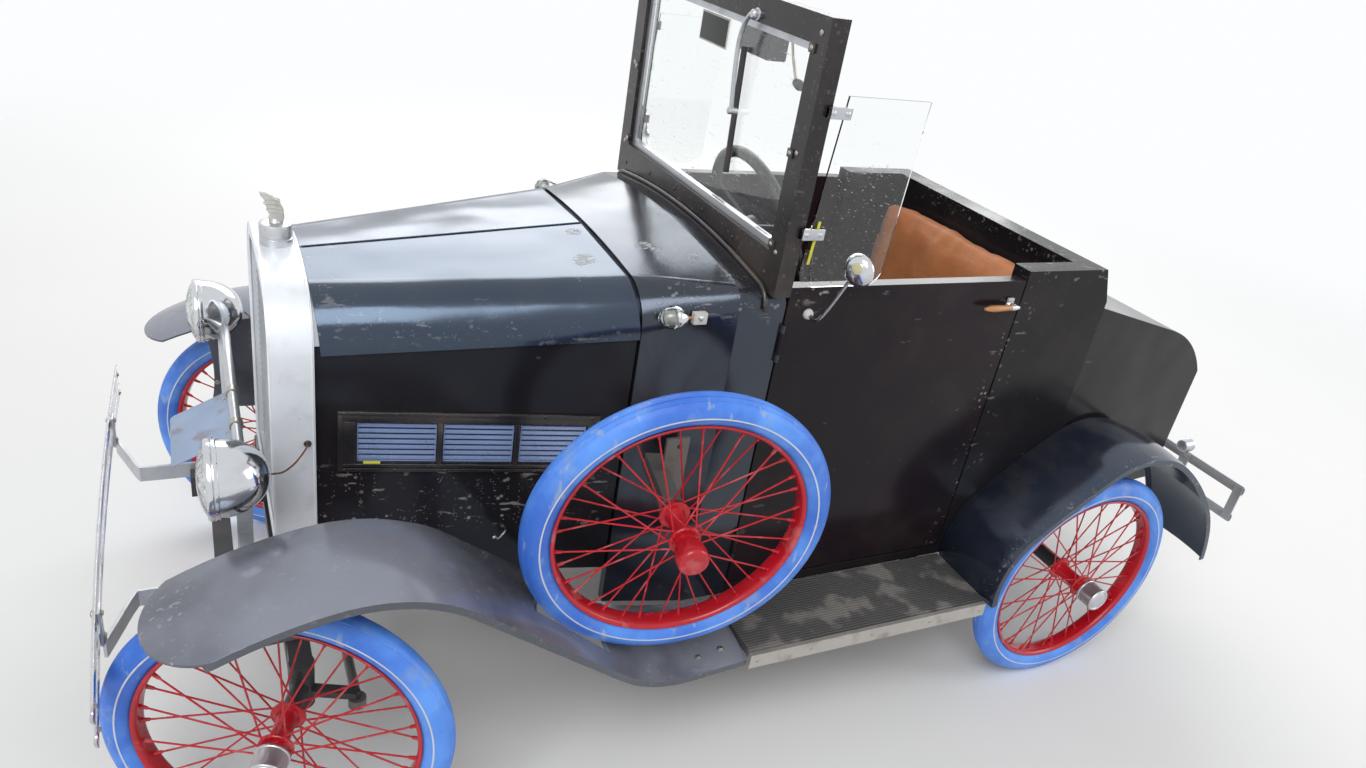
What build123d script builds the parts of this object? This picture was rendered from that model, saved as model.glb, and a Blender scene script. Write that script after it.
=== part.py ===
from build123d import *
import os
from math import atan2, cos, radians, sin

# Home-built miniature vintage parade car, an open roadster on twenty-inch wire wheels.
# Millimetres. +X forward, +Y to the car's left, +Z up, origin on the ground below the middle.

os.makedirs("parts", exist_ok=True)

# Wheels and axles
tyre_radius = 254.0
tyre_width = 50.0
rim_radius = 208.0
rim_width = 36.0
rim_floor_radius = 202.7
rim_wall = 3.0
spoke_count = 36
spoke_size = 3.4
spoke_lacing = 40.0
hub_radius = 15.0
hub_flange_radius = 26.0
hub_flange_spread = 60.0
hub_flange_thickness = 5.0
hub_inner_end = 42.0
hub_outer_end = 46.0
hub_cap_radius = 26.0
hub_cap_length = 38.0
spindle_radius = 8.0
running_gap = 0.4
seat_gap = 0.3
wheel_height = tyre_radius
front_axle_x = 945.0
rear_axle_x = -614.0
kingpin_y = 340.0
kingpin_to_tyre = 100.0
rear_tyre_y = 466.0
rest_steer = 22.0
kingpin_radius = 9.0
kingpin_half_height = 42.0
knuckle_half_height = 22.0
knuckle_radius = 19.0
axle_half_height = 16.0
axle_depth = 34.0

# Chassis
rail_y = 160.0
rail_width = 30.0
rail_bottom = 296.0
rail_height = 42.0
rail_front_x = 1085.0
rail_rear_x = -1150.0
rail_top = rail_bottom + rail_height
outrigger_height = 14.0

# Body sides, floor and cabin
body_half_width = 327.0
body_bottom = 262.0
door_top = 900.0
door_front_x = 180.0
door_rear_x = -340.0
door_thickness = 25.0
door_gap = 4.0
door_bottom = 287.0
hinge_heights = (380.0, 800.0)
hinge_radius = 4.5
hinge_pin_radius = 2.0
hinge_length = 40.0
hinge_knuckle = 14.0
hinge_clearance = 0.2
hinge_out = 3.0
quarter_rear_x = -580.0
quarter_top = 918.0
quarter_thickness = 43.0
rear_wall_front_x = -497.0
rear_wall_top_depth = 52.0
sill_thickness = 25.0
floor_top = 350.0
floor_thickness = 12.0
post_front_x = 270.0
cabin_clearance = 3.0

# Hood, cowl and radiator
hood_front_x = 902.0
hood_rear_x = 420.0
hood_front_half_width = 190.0
hood_rear_half_width = 290.0
hood_front_top = 850.0
hood_rear_top = 893.0
hood_front_edge = 750.0
hood_rear_edge = 800.0
hood_shoulder = 78.0
hood_skin = 3.0
hood_gap = 3.0
lid_overrun = 20.0
ledge_inset = 6.0
ledge_thickness = 3.0
ledge_depth = 18.0
hood_crown = 9.0
hood_side_lap = 12.0
hood_side_thickness = 12.0
hood_side_bottom = rail_top + 0.3
cowl_wall = 18.0
cowl_top = 919.0
cowl_shoulder = 34.0
cowl_crown = 22.0
shell_depth = 63.0
shell_half_width = 196.0
shell_top = 858.0
shell_bottom = 388.0
shell_shoulder = 92.0
shell_wall = 20.0
core_inset = 16.0
core_depth = 30.0

# Windscreen
screen_x = 206.0
screen_depth = 32.0
screen_half_width = 342.0
screen_bottom = 915.0
screen_foot = 890.0
screen_top = 1320.0
screen_member = 42.0
screen_rim = 12.0
glass_thickness = 5.0

# Running boards and fenders
board_outer_y = 497.0
board_top = 262.0
board_thickness = 12.0
board_front_x = 211.0
board_rear_x = -343.0
board_edge_width = 9.0
board_edge_height = 30.0
fender_sheet = 3.0
front_fender_inner_y = 270.0
front_fender_outer_y = 486.0
front_fender_crown = 16.0
fender_lip = 12.0
rear_fender_outer_y = 503.0
rear_fender_crown = 8.0

# Lamps and bumpers
lamp_y = 285.0
lamp_z = 615.0
lamp_reach = 105.0
lamp_front_x = hood_front_x + shell_depth + lamp_reach
lamp_radius = 59.0
lamp_depth = 95.0
bumper_half_length = 484.0
front_bumper_x = 1218.0
front_bumper_bow = 10.0
bumper_bar_height = 24.0
bumper_bar_thickness = 6.0
bumper_pitch = 42.0
front_bumper_z = 357.0
rear_bumper_x = -1227.0
rear_bumper_z = 270.0
rear_bumper_pitch = 78.0
rear_bumper_half_length = 408.0
bracket_thickness = 5.0
rear_iron_y = 236.0

# Spare wheel
spare_x = 395.0
spare_y = 474.0
spare_z = 560.0
spare_turn = 8.4
spare_lean = 4.4


def save(builder, label):
    """Name one finished piece and write it."""
    builder.part.label = label
    export_step(builder.part, f"parts/{label}.step")


def wheel_plane(centre, outward):
    """A plane whose +Y runs out along the axle, with +Z as near upright as it can be."""
    forward = outward.cross(Vector(0, 0, 1)).normalized()
    return Plane(origin=centre, x_dir=forward, z_dir=forward.cross(outward))


def side_plane(y):
    """The upright plane at y, with its own x and y along the car's X and Z."""
    return Plane.XZ.offset(-y)


def hinge_rod(side, low, high, radius):
    """A round rod on the door's hinge line."""
    with BuildPart() as rod:
        with BuildSketch(Plane.XY.offset(low)):
            with Locations((door_front_x + door_gap / 2, side * (body_half_width + hinge_out))):
                Circle(radius)
        extrude(amount=high - low)
    return rod.part


# Where the wheels stand: the front ones are steered to the car's right at rest
steer = radians(rest_steer)
left_out = Vector(sin(steer), cos(steer), 0)
left_kingpin = Vector(front_axle_x, kingpin_y, wheel_height)
right_kingpin = Vector(front_axle_x, -kingpin_y, wheel_height)
rear_centre = Vector(rear_axle_x, 0, wheel_height)
spare_out = Vector(
    sin(radians(spare_turn)) * cos(radians(spare_lean)),
    cos(radians(spare_turn)) * cos(radians(spare_lean)),
    -sin(radians(spare_lean)),
)
spare_plane = wheel_plane(Vector(spare_x, spare_y, spare_z), spare_out)
wheel_planes = {
    "front_left": wheel_plane(left_kingpin + left_out * kingpin_to_tyre, left_out),
    "front_right": wheel_plane(right_kingpin - left_out * kingpin_to_tyre, left_out * -1),
    "rear_left": wheel_plane(rear_centre + Vector(0, rear_tyre_y, 0), Vector(0, 1, 0)),
    "rear_right": wheel_plane(rear_centre - Vector(0, rear_tyre_y, 0), Vector(0, -1, 0)),
    "spare": spare_plane,
}

# Tyre: a round balloon section on the rim
bead_half_width = rim_width / 2 - rim_wall - 1.5
with BuildPart() as tyre:
    with BuildSketch(Plane.XY):
        with BuildLine():
            bead = (rim_radius + 1.0, bead_half_width)
            wall = (rim_radius + 20.0, tyre_width / 2)
            shoulder = (tyre_radius - 8.0, tyre_width / 2 - 8.0)
            Line((rim_floor_radius + seat_gap, -bead[1]), (rim_floor_radius + seat_gap, bead[1]))
            Line((rim_floor_radius + seat_gap, bead[1]), bead)
            ThreePointArc(bead, wall, shoulder)
            ThreePointArc(shoulder, (tyre_radius, 0), (shoulder[0], -shoulder[1]))
            ThreePointArc((shoulder[0], -shoulder[1]), (wall[0], -wall[1]), (bead[0], -bead[1]))
            Line((bead[0], -bead[1]), (rim_floor_radius + seat_gap, -bead[1]))
        make_face()
    revolve(axis=Axis.Y)

# Wire wheel: channel rim, laced spokes and flanged hub in one
with BuildPart() as wheel:
    with BuildSketch(Plane.XY):
        with BuildLine():
            Polyline(
                (rim_floor_radius - rim_wall, -rim_width / 2 + rim_wall),
                (rim_floor_radius - rim_wall, rim_width / 2 - rim_wall),
                (rim_radius - 4, rim_width / 2),
                (rim_radius, rim_width / 2),
                (rim_radius, rim_width / 2 - rim_wall),
                (rim_floor_radius, rim_width / 2 - rim_wall),
                (rim_floor_radius, -rim_width / 2 + rim_wall),
                (rim_radius, -rim_width / 2 + rim_wall),
                (rim_radius, -rim_width / 2),
                (rim_radius - 4, -rim_width / 2),
                close=True,
            )
        make_face()
    revolve(axis=Axis.Y)
    for spoke in range(spoke_count):
        side = 1 if spoke % 2 else -1
        lead = spoke_lacing if spoke // 2 % 2 else -spoke_lacing
        hub_angle = radians(spoke * 360 / spoke_count)
        rim_angle = radians(spoke * 360 / spoke_count + lead)
        inner = Vector(cos(hub_angle), 0, sin(hub_angle)) * (hub_flange_radius - 3)
        inner += Vector(0, side * hub_flange_spread / 2, 0)
        outer = Vector(cos(rim_angle), 0, sin(rim_angle)) * (rim_floor_radius - rim_wall / 2)
        with BuildSketch(Plane(origin=inner, z_dir=outer - inner)):
            Rectangle(spoke_size, spoke_size)
        extrude(amount=(outer - inner).length)
    with BuildSketch(Plane.XY):
        with BuildLine():
            flange_in = hub_flange_spread / 2 - hub_flange_thickness / 2
            flange_out = hub_flange_spread / 2 + hub_flange_thickness / 2
            Polyline(
                (spindle_radius + running_gap, -hub_inner_end),
                (hub_radius, -hub_inner_end),
                (hub_radius, -flange_out),
                (hub_flange_radius, -flange_out),
                (hub_flange_radius, -flange_in),
                (hub_radius, -flange_in),
                (hub_radius, flange_in),
                (hub_flange_radius, flange_in),
                (hub_flange_radius, flange_out),
                (hub_radius, flange_out),
                (hub_radius, hub_outer_end),
                (spindle_radius + running_gap, hub_outer_end),
                close=True,
            )
        make_face()
    revolve(axis=Axis.Y)

# Hub cap: a plain cup over the spindle's end
with BuildPart() as hub_cap:
    with BuildSketch(Plane.XZ.offset(-hub_outer_end)):
        Circle(hub_cap_radius)
    extrude(amount=-hub_cap_length)
    with BuildSketch(Plane.XZ.offset(-hub_outer_end)):
        Circle(spindle_radius + 4)
    extrude(amount=-12, mode=Mode.SUBTRACT)

for place, plane in wheel_planes.items():
    for name, master in (("tyre", tyre), ("wheel", wheel), ("hub_cap", hub_cap)):
        if (name, place) == ("hub_cap", "spare"):
            continue
        with BuildPart() as placed:
            add(master.part.moved(plane.location))
            if (name, place) == ("wheel", "spare"):
                add(hub_cap.part.moved(plane.location))
        save(placed, f"{name}_{place}")

# Front axle: a beam with a fork round each steering knuckle
fork_gap = 1.0
with BuildPart() as front_axle:
    with BuildSketch(side_plane(-kingpin_y + knuckle_radius + 6)):
        with Locations((front_axle_x, wheel_height)):
            Rectangle(axle_depth, 2 * axle_half_height)
    extrude(amount=-2 * (kingpin_y - knuckle_radius - 6))
    for side in (-1, 1):
        for level in (-1, 1):
            near = wheel_height + level * (knuckle_half_height + fork_gap)
            with BuildSketch(Plane.XY.offset(near)):
                with Locations((front_axle_x, side * kingpin_y)):
                    Circle(knuckle_radius)
                with Locations((front_axle_x, side * (kingpin_y - knuckle_radius))):
                    Rectangle(axle_depth, 2 * knuckle_radius + 16)
            extrude(amount=level * (kingpin_half_height - knuckle_half_height - fork_gap))
        with BuildSketch(side_plane(side * (kingpin_y - knuckle_radius - 6))):
            with Locations((front_axle_x, wheel_height)):
                Rectangle(axle_depth, 2 * kingpin_half_height)
        extrude(amount=side * 22)
        with BuildSketch(Plane.XY.offset(wheel_height - kingpin_half_height)):
            with Locations((front_axle_x, side * kingpin_y)):
                Circle(kingpin_radius)
        extrude(amount=2 * kingpin_half_height)
    for side in (-1, 1):
        with BuildSketch(Plane.XY.offset(wheel_height + axle_half_height)):
            with Locations((front_axle_x, side * rail_y)):
                Rectangle(axle_depth + 30, rail_width + 10)
        extrude(amount=rail_bottom - wheel_height - axle_half_height)
save(front_axle, "front_axle")

# Steering knuckles: a barrel on the kingpin, the wheel's spindle and a steering arm
arm_length = 85.0
arm_height = 12.0
arm_pin_radius = 5.0
tie_rod_radius = 8.0
spindle_length = kingpin_to_tyre + hub_outer_end + 10.0
arm_z = wheel_height - knuckle_half_height + arm_height / 2
for side, place, kingpin in ((1, "left", left_kingpin), (-1, "right", right_kingpin)):
    outward = left_out * side
    spindle_plane = Plane(origin=kingpin, z_dir=outward)
    arm_direction = Vector(-cos(steer), sin(steer), 0)
    arm_middle = kingpin + arm_direction * (arm_length / 2)
    arm_end = kingpin + arm_direction * arm_length
    with BuildPart() as knuckle:
        with BuildSketch(Plane.XY.offset(wheel_height - knuckle_half_height)):
            with Locations((kingpin.X, kingpin.Y)):
                Circle(knuckle_radius)
            with Locations(Location((arm_middle.X, arm_middle.Y, 0), (0, 0, -rest_steer))):
                Rectangle(arm_length, 18)
        extrude(amount=arm_height)
        with BuildSketch(Plane.XY.offset(wheel_height - knuckle_half_height)):
            with Locations((kingpin.X, kingpin.Y)):
                Circle(knuckle_radius)
        extrude(amount=2 * knuckle_half_height)
        with BuildSketch(spindle_plane):
            Circle(spindle_radius)
        extrude(amount=spindle_length)
        with BuildSketch(spindle_plane):
            Circle(spindle_radius + 6)
        extrude(amount=kingpin_to_tyre - hub_inner_end - 1)
        with BuildSketch(Plane.XY.offset(wheel_height - kingpin_half_height)):
            with Locations((kingpin.X, kingpin.Y)):
                Circle(kingpin_radius + running_gap)
        extrude(amount=2 * kingpin_half_height, mode=Mode.SUBTRACT)
        with BuildSketch(Plane.XY.offset(wheel_height - knuckle_half_height - 2 * tie_rod_radius - 4)):
            with Locations((arm_end.X, arm_end.Y)):
                Circle(arm_pin_radius)
        extrude(amount=2 * tie_rod_radius + 4 + arm_height)
    save(knuckle, f"knuckle_{place}")

# Tie rod between the two steering arms
left_arm_end = left_kingpin + Vector(-cos(steer), sin(steer), 0) * arm_length
tie_z = wheel_height - knuckle_half_height - tie_rod_radius - 2
with BuildPart() as tie_rod:
    with BuildSketch(Plane.XZ.offset(-left_arm_end.Y + 12)):
        with Locations((left_arm_end.X, tie_z)):
            Circle(tie_rod_radius)
    extrude(amount=2 * kingpin_y - 24)
    for side in (0, 1):
        with BuildSketch(Plane.XY.offset(tie_z - tie_rod_radius)):
            with Locations((left_arm_end.X, left_arm_end.Y - side * 2 * kingpin_y)):
                Circle(14)
        extrude(amount=2 * tie_rod_radius)
        with BuildSketch(Plane.XY.offset(tie_z - tie_rod_radius)):
            with Locations((left_arm_end.X, left_arm_end.Y - side * 2 * kingpin_y)):
                Circle(arm_pin_radius + running_gap)
        extrude(amount=2 * tie_rod_radius, mode=Mode.SUBTRACT)
save(tie_rod, "tie_rod")

# Rear axle: a fixed tube with a spindle at each end
rear_tube_radius = 15.0
rear_tube_end = rear_tyre_y - hub_inner_end - 1.0
with BuildPart() as rear_axle:
    with BuildSketch(side_plane(-rear_tube_end)):
        with Locations((rear_axle_x, wheel_height)):
            Circle(rear_tube_radius)
    extrude(amount=-2 * rear_tube_end)
    with BuildSketch(side_plane(-rear_tyre_y - hub_outer_end - 10)):
        with Locations((rear_axle_x, wheel_height)):
            Circle(spindle_radius)
    extrude(amount=-2 * (rear_tyre_y + hub_outer_end + 10))
    for side in (-1, 1):
        with BuildSketch(Plane.XY.offset(wheel_height)):
            with Locations((rear_axle_x, side * rail_y)):
                Rectangle(50, rail_width + 10)
        extrude(amount=rail_bottom - wheel_height)
save(rear_axle, "rear_axle")

# Chassis: two rails, cross-members and the outriggers under the boards
outriggers = (  # x, half length
    (150.0, board_outer_y - 20),
    (-290.0, board_outer_y - 20),
)
cross_members = (1040.0, 480.0, -80.0, -560.0, -1130.0)
with BuildPart() as chassis:
    for side in (-1, 1):
        with BuildSketch(Plane.YZ.offset(rail_rear_x)):
            with Locations((side * rail_y, rail_bottom + rail_height / 2)):
                Rectangle(rail_width, rail_height)
        extrude(amount=rail_front_x - rail_rear_x)
    for x in cross_members:
        with BuildSketch(side_plane(-rail_y)):
            with Locations((x, rail_bottom + rail_height / 2)):
                Rectangle(30, rail_height - 12)
        extrude(amount=-2 * rail_y)
    outrigger_z = board_top - board_thickness - outrigger_height / 2
    for x, reach in outriggers:
        with BuildSketch(side_plane(-reach)):
            with Locations((x, outrigger_z)):
                Rectangle(30, outrigger_height)
        extrude(amount=-2 * reach)
        for side in (-1, 1):
            with BuildSketch(Plane.XY.offset(outrigger_z)):
                with Locations((x, side * rail_y)):
                    Rectangle(30, rail_width)
            extrude(amount=rail_bottom - outrigger_z)
save(chassis, "chassis")

# Engine: one plain block on the rails
engine_size = (250.0, 2 * (rail_y + rail_width / 2), 230.0)
engine_x = 690.0
with BuildPart() as engine:
    with BuildSketch(Plane.XY.offset(rail_bottom + rail_height)):
        with Locations((engine_x, 0)):
            Rectangle(engine_size[0], engine_size[1])
    extrude(amount=engine_size[2])
save(engine, "engine")


def shoulder_outline(half_width, bottom, top, shoulder, crown):
    """Edges of a flat-bottomed outline with rounded shoulders and a slight crown."""
    with BuildLine() as outline:
        turn = radians(45)
        corner = (half_width - shoulder, top - crown - shoulder)
        middle = (corner[0] + shoulder * cos(turn), corner[1] + shoulder * sin(turn))
        start = (half_width, corner[1])
        end = (corner[0], top - crown)
        Line((half_width, bottom), start)
        ThreePointArc(start, middle, end)
        ThreePointArc(end, (0, top), (-end[0], end[1]))
        ThreePointArc((-end[0], end[1]), (-middle[0], middle[1]), (-start[0], start[1]))
        Line((-start[0], start[1]), (-half_width, bottom))
        Line((-half_width, bottom), (half_width, bottom))
    return outline.edges()


def hood_x_share(x):
    """How far back along the hood x lies, from 0 at the radiator to 1 at the cowl."""
    return (hood_front_x - x) / (hood_front_x - hood_rear_x)


def hood_half_width(x):
    return hood_front_half_width + hood_x_share(x) * (hood_rear_half_width - hood_front_half_width)


def hood_edge(x):
    return hood_front_edge + hood_x_share(x) * (hood_rear_edge - hood_front_edge)


def hood_top(x):
    return hood_front_top + hood_x_share(x) * (hood_rear_top - hood_front_top)


def ledge_section(x, half_width, edge, top):
    """A strip across x that follows a lid's underside and stops above the side panels."""
    with BuildSketch(Plane.YZ.offset(x)) as section:
        for inset, low, mode in (
            (ledge_inset, edge, Mode.ADD),
            (ledge_inset + ledge_thickness, edge - 1, Mode.SUBTRACT),
        ):
            outline = shoulder_outline(
                half_width - inset, low, top - inset, hood_shoulder - inset, hood_crown
            )
            make_face(outline, mode=mode)
        with Locations((0, edge)):
            Rectangle(2 * half_width, 2 * (hood_side_lap + seat_gap), mode=Mode.SUBTRACT)
    return section.sketch


# Radiator shell: an arched sheet surround, open at the back, with the ledge that carries the lids
with BuildPart() as radiator_shell:
    with BuildSketch(Plane.YZ.offset(hood_front_x)):
        outline = shoulder_outline(shell_half_width, shell_bottom, shell_top, shell_shoulder, hood_crown)
        make_face(outline)
    extrude(amount=shell_depth)
    with BuildSketch(Plane.YZ.offset(hood_front_x)):
        outline = shoulder_outline(
            shell_half_width - shell_wall,
            shell_bottom + shell_wall,
            shell_top - shell_wall,
            shell_shoulder - shell_wall,
            hood_crown,
        )
        make_face(outline)
    extrude(amount=shell_depth, mode=Mode.SUBTRACT)
    shell_edge = hood_edge(hood_front_x - ledge_depth)
    ledge = ledge_section(hood_front_x, hood_front_half_width, shell_edge, hood_front_top)
    extrude(ledge, amount=-ledge_depth)
save(radiator_shell, "radiator_shell")

with BuildPart() as radiator_core:
    with BuildSketch(Plane.YZ.offset(hood_front_x + shell_depth - core_inset - core_depth)):
        outline = shoulder_outline(
            shell_half_width - shell_wall - 0.2,
            shell_bottom + shell_wall + 0.2,
            shell_top - shell_wall - 0.2,
            shell_shoulder - shell_wall,
            hood_crown,
        )
        make_face(outline)
    extrude(amount=core_depth)
save(radiator_core, "radiator_core")

# Radiator cap with its wing-shaped mascot
cap_radius = 25.0
cap_height = 34.0
cap_x = hood_front_x + shell_depth / 2
wing_base = shell_top + cap_height - 1
with BuildPart() as radiator_cap:
    with BuildSketch(Plane.XY.offset(shell_top - 2)):
        with Locations((cap_x, 0)):
            Circle(cap_radius)
    extrude(amount=cap_height + 2)
    with BuildSketch(side_plane(-4)):
        with BuildLine():
            Line((cap_x - 12, wing_base), (cap_x + 8, wing_base))
            ThreePointArc((cap_x + 8, wing_base), (cap_x + 10, wing_base + 28), (cap_x + 22, wing_base + 48))
            ThreePointArc((cap_x + 22, wing_base + 48), (cap_x - 4, wing_base + 32), (cap_x - 12, wing_base))
        make_face()
    extrude(amount=-8)
    add(radiator_shell.part, mode=Mode.SUBTRACT)
save(radiator_cap, "radiator_cap")


def hood_section(x, inset):
    """Closed outline of the hood's left half, set in by the sheet's thickness."""
    half_width = hood_half_width(x) - inset
    top = hood_top(x) - inset
    shoulder = hood_shoulder - inset
    corner = (half_width - shoulder, top - hood_crown - shoulder)
    middle = (corner[0] + shoulder * cos(radians(45)), corner[1] + shoulder * sin(radians(45)))
    with BuildLine() as outline:
        Line((hood_gap / 2, hood_edge(x)), (half_width, hood_edge(x)))
        Line((half_width, hood_edge(x)), (half_width, corner[1]))
        ThreePointArc((half_width, corner[1]), middle, (corner[0], top - hood_crown))
        Line((corner[0], top - hood_crown), (hood_gap / 2, top))
        Line((hood_gap / 2, top), (hood_gap / 2, hood_edge(x)))
    return outline.edges()


# Hood halves: tapering sheet lids hinged on the centre line, their ends square to the hinge
hood_joint = 1.0
hood_slope = atan2(hood_rear_top - hood_front_top, hood_front_x - hood_rear_x)
hinge_back = Vector(-cos(hood_slope), 0, sin(hood_slope))
hinge_up = Vector(sin(hood_slope), 0, cos(hood_slope))
lid_front = Vector(hood_front_x - hood_joint, 0, hood_front_top)
lid_rear_x = hood_rear_x + hood_joint + (hood_rear_top - hood_rear_edge) * sin(hood_slope)
lid_rear = lid_front + hinge_back * ((lid_front.X - lid_rear_x) / cos(hood_slope))
lid_reach = 250.0
with BuildPart() as hood_left:
    for x in (hood_front_x + lid_overrun, hood_rear_x - lid_overrun):
        with BuildSketch(Plane.YZ.offset(x)):
            make_face(hood_section(x, 0))
    loft()
    for x in (hood_front_x + 2 * lid_overrun, hood_rear_x - 2 * lid_overrun):
        with BuildSketch(Plane.YZ.offset(x)):
            make_face(hood_section(x, hood_skin))
    loft(mode=Mode.SUBTRACT)
    with BuildSketch(side_plane(0)):
        with BuildLine():
            corners = (
                lid_front + hinge_up * lid_reach,
                lid_front - hinge_up * lid_reach,
                lid_rear - hinge_up * lid_reach,
                lid_rear + hinge_up * lid_reach,
            )
            Polyline(*((corner.X, corner.Z) for corner in corners), close=True)
        make_face()
    extrude(amount=-body_half_width, mode=Mode.INTERSECT)
save(hood_left, "hood_left")

with BuildPart() as hood_right:
    mirror(hood_left.part, about=Plane.XZ)
save(hood_right, "hood_right")

# Hood sides: fixed panels below the lids, each with three vent windows
vent_windows = (  # rear x, front x
    (722.0, 842.0),
    (602.0, 712.0),
    (486.0, 592.0),
)
vent_bottom = 562.0
vent_top = 636.0
slat_count = 7
slat_thickness = 3.0
vent_frame = 2.0
vent_depth = 3.6
slat_share = 0.62
side_inset = hood_skin + 1.5
side_angle = atan2(hood_rear_half_width - hood_front_half_width, hood_front_x - hood_rear_x)
side_front_x = hood_front_x - 1.0
side_rear_x = hood_rear_x + 1.0 + hood_side_thickness * sin(side_angle)


def side_sheet_plane(depth):
    """The left hood side's plane that far in, with x running back from the radiator and y up."""
    return Plane(
        origin=(hood_front_x, hood_front_half_width - side_inset, 0),
        x_dir=(-cos(side_angle), sin(side_angle), 0),
        z_dir=(sin(side_angle), cos(side_angle), 0),
    ).offset(-depth)


def along_side(x):
    """Distance along the hood side's plane for the car's x."""
    return (hood_front_x - x) / cos(side_angle)


with BuildPart() as hood_sides:
    with BuildSketch(side_sheet_plane(0)):
        with BuildLine():
            Polyline(
                (along_side(side_front_x), hood_side_bottom),
                (along_side(side_front_x), hood_edge(side_front_x) + hood_side_lap),
                (along_side(side_rear_x), hood_edge(side_rear_x) + hood_side_lap),
                (along_side(side_rear_x), hood_side_bottom),
                close=True,
            )
        make_face()
    extrude(amount=-hood_side_thickness)
    for rear, front in vent_windows:
        with BuildSketch(side_sheet_plane(0)):
            with Locations(((along_side(front) + along_side(rear)) / 2, (vent_bottom + vent_top) / 2)):
                Rectangle(along_side(rear) - along_side(front), vent_top - vent_bottom)
        extrude(amount=-hood_side_thickness, mode=Mode.SUBTRACT)
    mirror(about=Plane.XZ)
save(hood_sides, "hood_sides")

with BuildPart() as hood_vents:
    for rear, front in vent_windows:
        middle = (along_side(front) + along_side(rear)) / 2
        length = along_side(rear) - along_side(front) - 2 * seat_gap
        height = vent_top - vent_bottom - 2 * seat_gap
        pitch = (height - 2 * vent_frame) / slat_count
        with BuildSketch(side_sheet_plane(vent_depth)):
            with Locations((middle, (vent_bottom + vent_top) / 2)):
                Rectangle(length, height)
                Rectangle(length - 2 * vent_frame, height - 2 * vent_frame, mode=Mode.SUBTRACT)
            with Locations((middle, (vent_bottom + vent_top) / 2)):
                with GridLocations(length, pitch, 1, slat_count):
                    Rectangle(length - 1, pitch * slat_share)
        extrude(amount=-slat_thickness)
    mirror(about=Plane.XZ)
save(hood_vents, "hood_vents")

# Cowl: the scuttle from the hood's rear seam to the windscreen, with the front door posts
cowl_rear_x = door_front_x + door_gap
with BuildPart() as cowl:
    with BuildSketch(Plane.YZ.offset(hood_rear_x)):
        outline = shoulder_outline(
            hood_rear_half_width, body_bottom, hood_rear_top, hood_shoulder, hood_crown
        )
        make_face(outline)
    with BuildSketch(Plane.YZ.offset(post_front_x)):
        outline = shoulder_outline(body_half_width, body_bottom, cowl_top, cowl_shoulder, cowl_crown)
        make_face(outline)
    loft()
    with BuildSketch(Plane.YZ.offset(post_front_x)):
        outline = shoulder_outline(body_half_width, body_bottom, cowl_top, cowl_shoulder, cowl_crown)
        make_face(outline)
    extrude(amount=cowl_rear_x - post_front_x)
    with BuildSketch(Plane.YZ.offset(hood_rear_x)):
        outline = shoulder_outline(
            hood_rear_half_width - cowl_wall,
            body_bottom,
            hood_rear_top - cowl_wall,
            hood_shoulder - cowl_wall,
            hood_crown,
        )
        make_face(outline)
    with BuildSketch(Plane.YZ.offset(post_front_x)):
        outline = shoulder_outline(
            body_half_width - cowl_wall,
            body_bottom,
            cowl_top - cowl_wall,
            cowl_shoulder - cowl_wall + 6,
            cowl_crown,
        )
        make_face(outline)
    loft(mode=Mode.SUBTRACT)
    with BuildSketch(Plane.YZ.offset(post_front_x)):
        outline = shoulder_outline(
            body_half_width - cowl_wall,
            body_bottom,
            cowl_top - cowl_wall,
            cowl_shoulder - cowl_wall + 6,
            cowl_crown,
        )
        make_face(outline)
    extrude(amount=cowl_rear_x - post_front_x, mode=Mode.SUBTRACT)
    ledge_end = hood_rear_x + ledge_depth
    ledge = ledge_section(hood_rear_x, hood_half_width(ledge_end), hood_rear_edge, hood_top(ledge_end))
    extrude(ledge, amount=ledge_depth)
    for side in (-1, 1):
        for height in hinge_heights:
            low = height - hinge_length / 2
            high = height + hinge_length / 2
            add(hinge_rod(side, low - seat_gap, high + seat_gap, hinge_radius + seat_gap), mode=Mode.SUBTRACT)
            add(hinge_rod(side, low - hinge_knuckle, low - seat_gap, hinge_radius))
            add(hinge_rod(side, high + seat_gap, high + hinge_knuckle, hinge_radius))
            add(hinge_rod(side, low - hinge_knuckle, high + hinge_knuckle, hinge_pin_radius))
save(cowl, "cowl")

# Steering column: from the wheel down through the dashboard and the firewall
steering_centre = Vector(90, 42, 889)
steering_tilt = radians(18)
column_direction = Vector(-cos(steering_tilt), 0, sin(steering_tilt))
column_span = 385.0
column_low = steering_centre - column_direction * column_span
column_radius = 14.0
column_length = column_span - 26.0
with BuildPart() as steering_column:
    with BuildSketch(Plane(origin=column_low, z_dir=column_direction)):
        Circle(column_radius)
    extrude(amount=column_length)
save(steering_column, "steering_column")

with BuildPart() as column_hole:
    with BuildSketch(Plane(origin=column_low, z_dir=column_direction)):
        Circle(column_radius + seat_gap)
    extrude(amount=column_length)

# Boards: the floor on the rails and the firewall across the front of the cowl
floor_front_x = hood_rear_x - 20.0
cabin_half_width = body_half_width - quarter_thickness - cabin_clearance
with BuildPart() as floor_boards:
    with BuildSketch(Plane.XY.offset(floor_top - floor_thickness)):
        with Locations(((floor_front_x + rear_wall_front_x) / 2, 0)):
            Rectangle(floor_front_x - rear_wall_front_x - 1, 2 * (hood_rear_half_width - cowl_wall - 2))
    extrude(amount=floor_thickness)
    with BuildSketch(Plane.YZ.offset(floor_front_x)):
        outline = shoulder_outline(
            hood_rear_half_width - cowl_wall - 1.5,
            floor_top - floor_thickness,
            hood_rear_top - cowl_wall - 1.5,
            hood_shoulder - cowl_wall,
            hood_crown,
        )
        make_face(outline)
    extrude(amount=floor_thickness)
    add(column_hole.part, mode=Mode.SUBTRACT)
save(floor_boards, "floor_boards")

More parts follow.
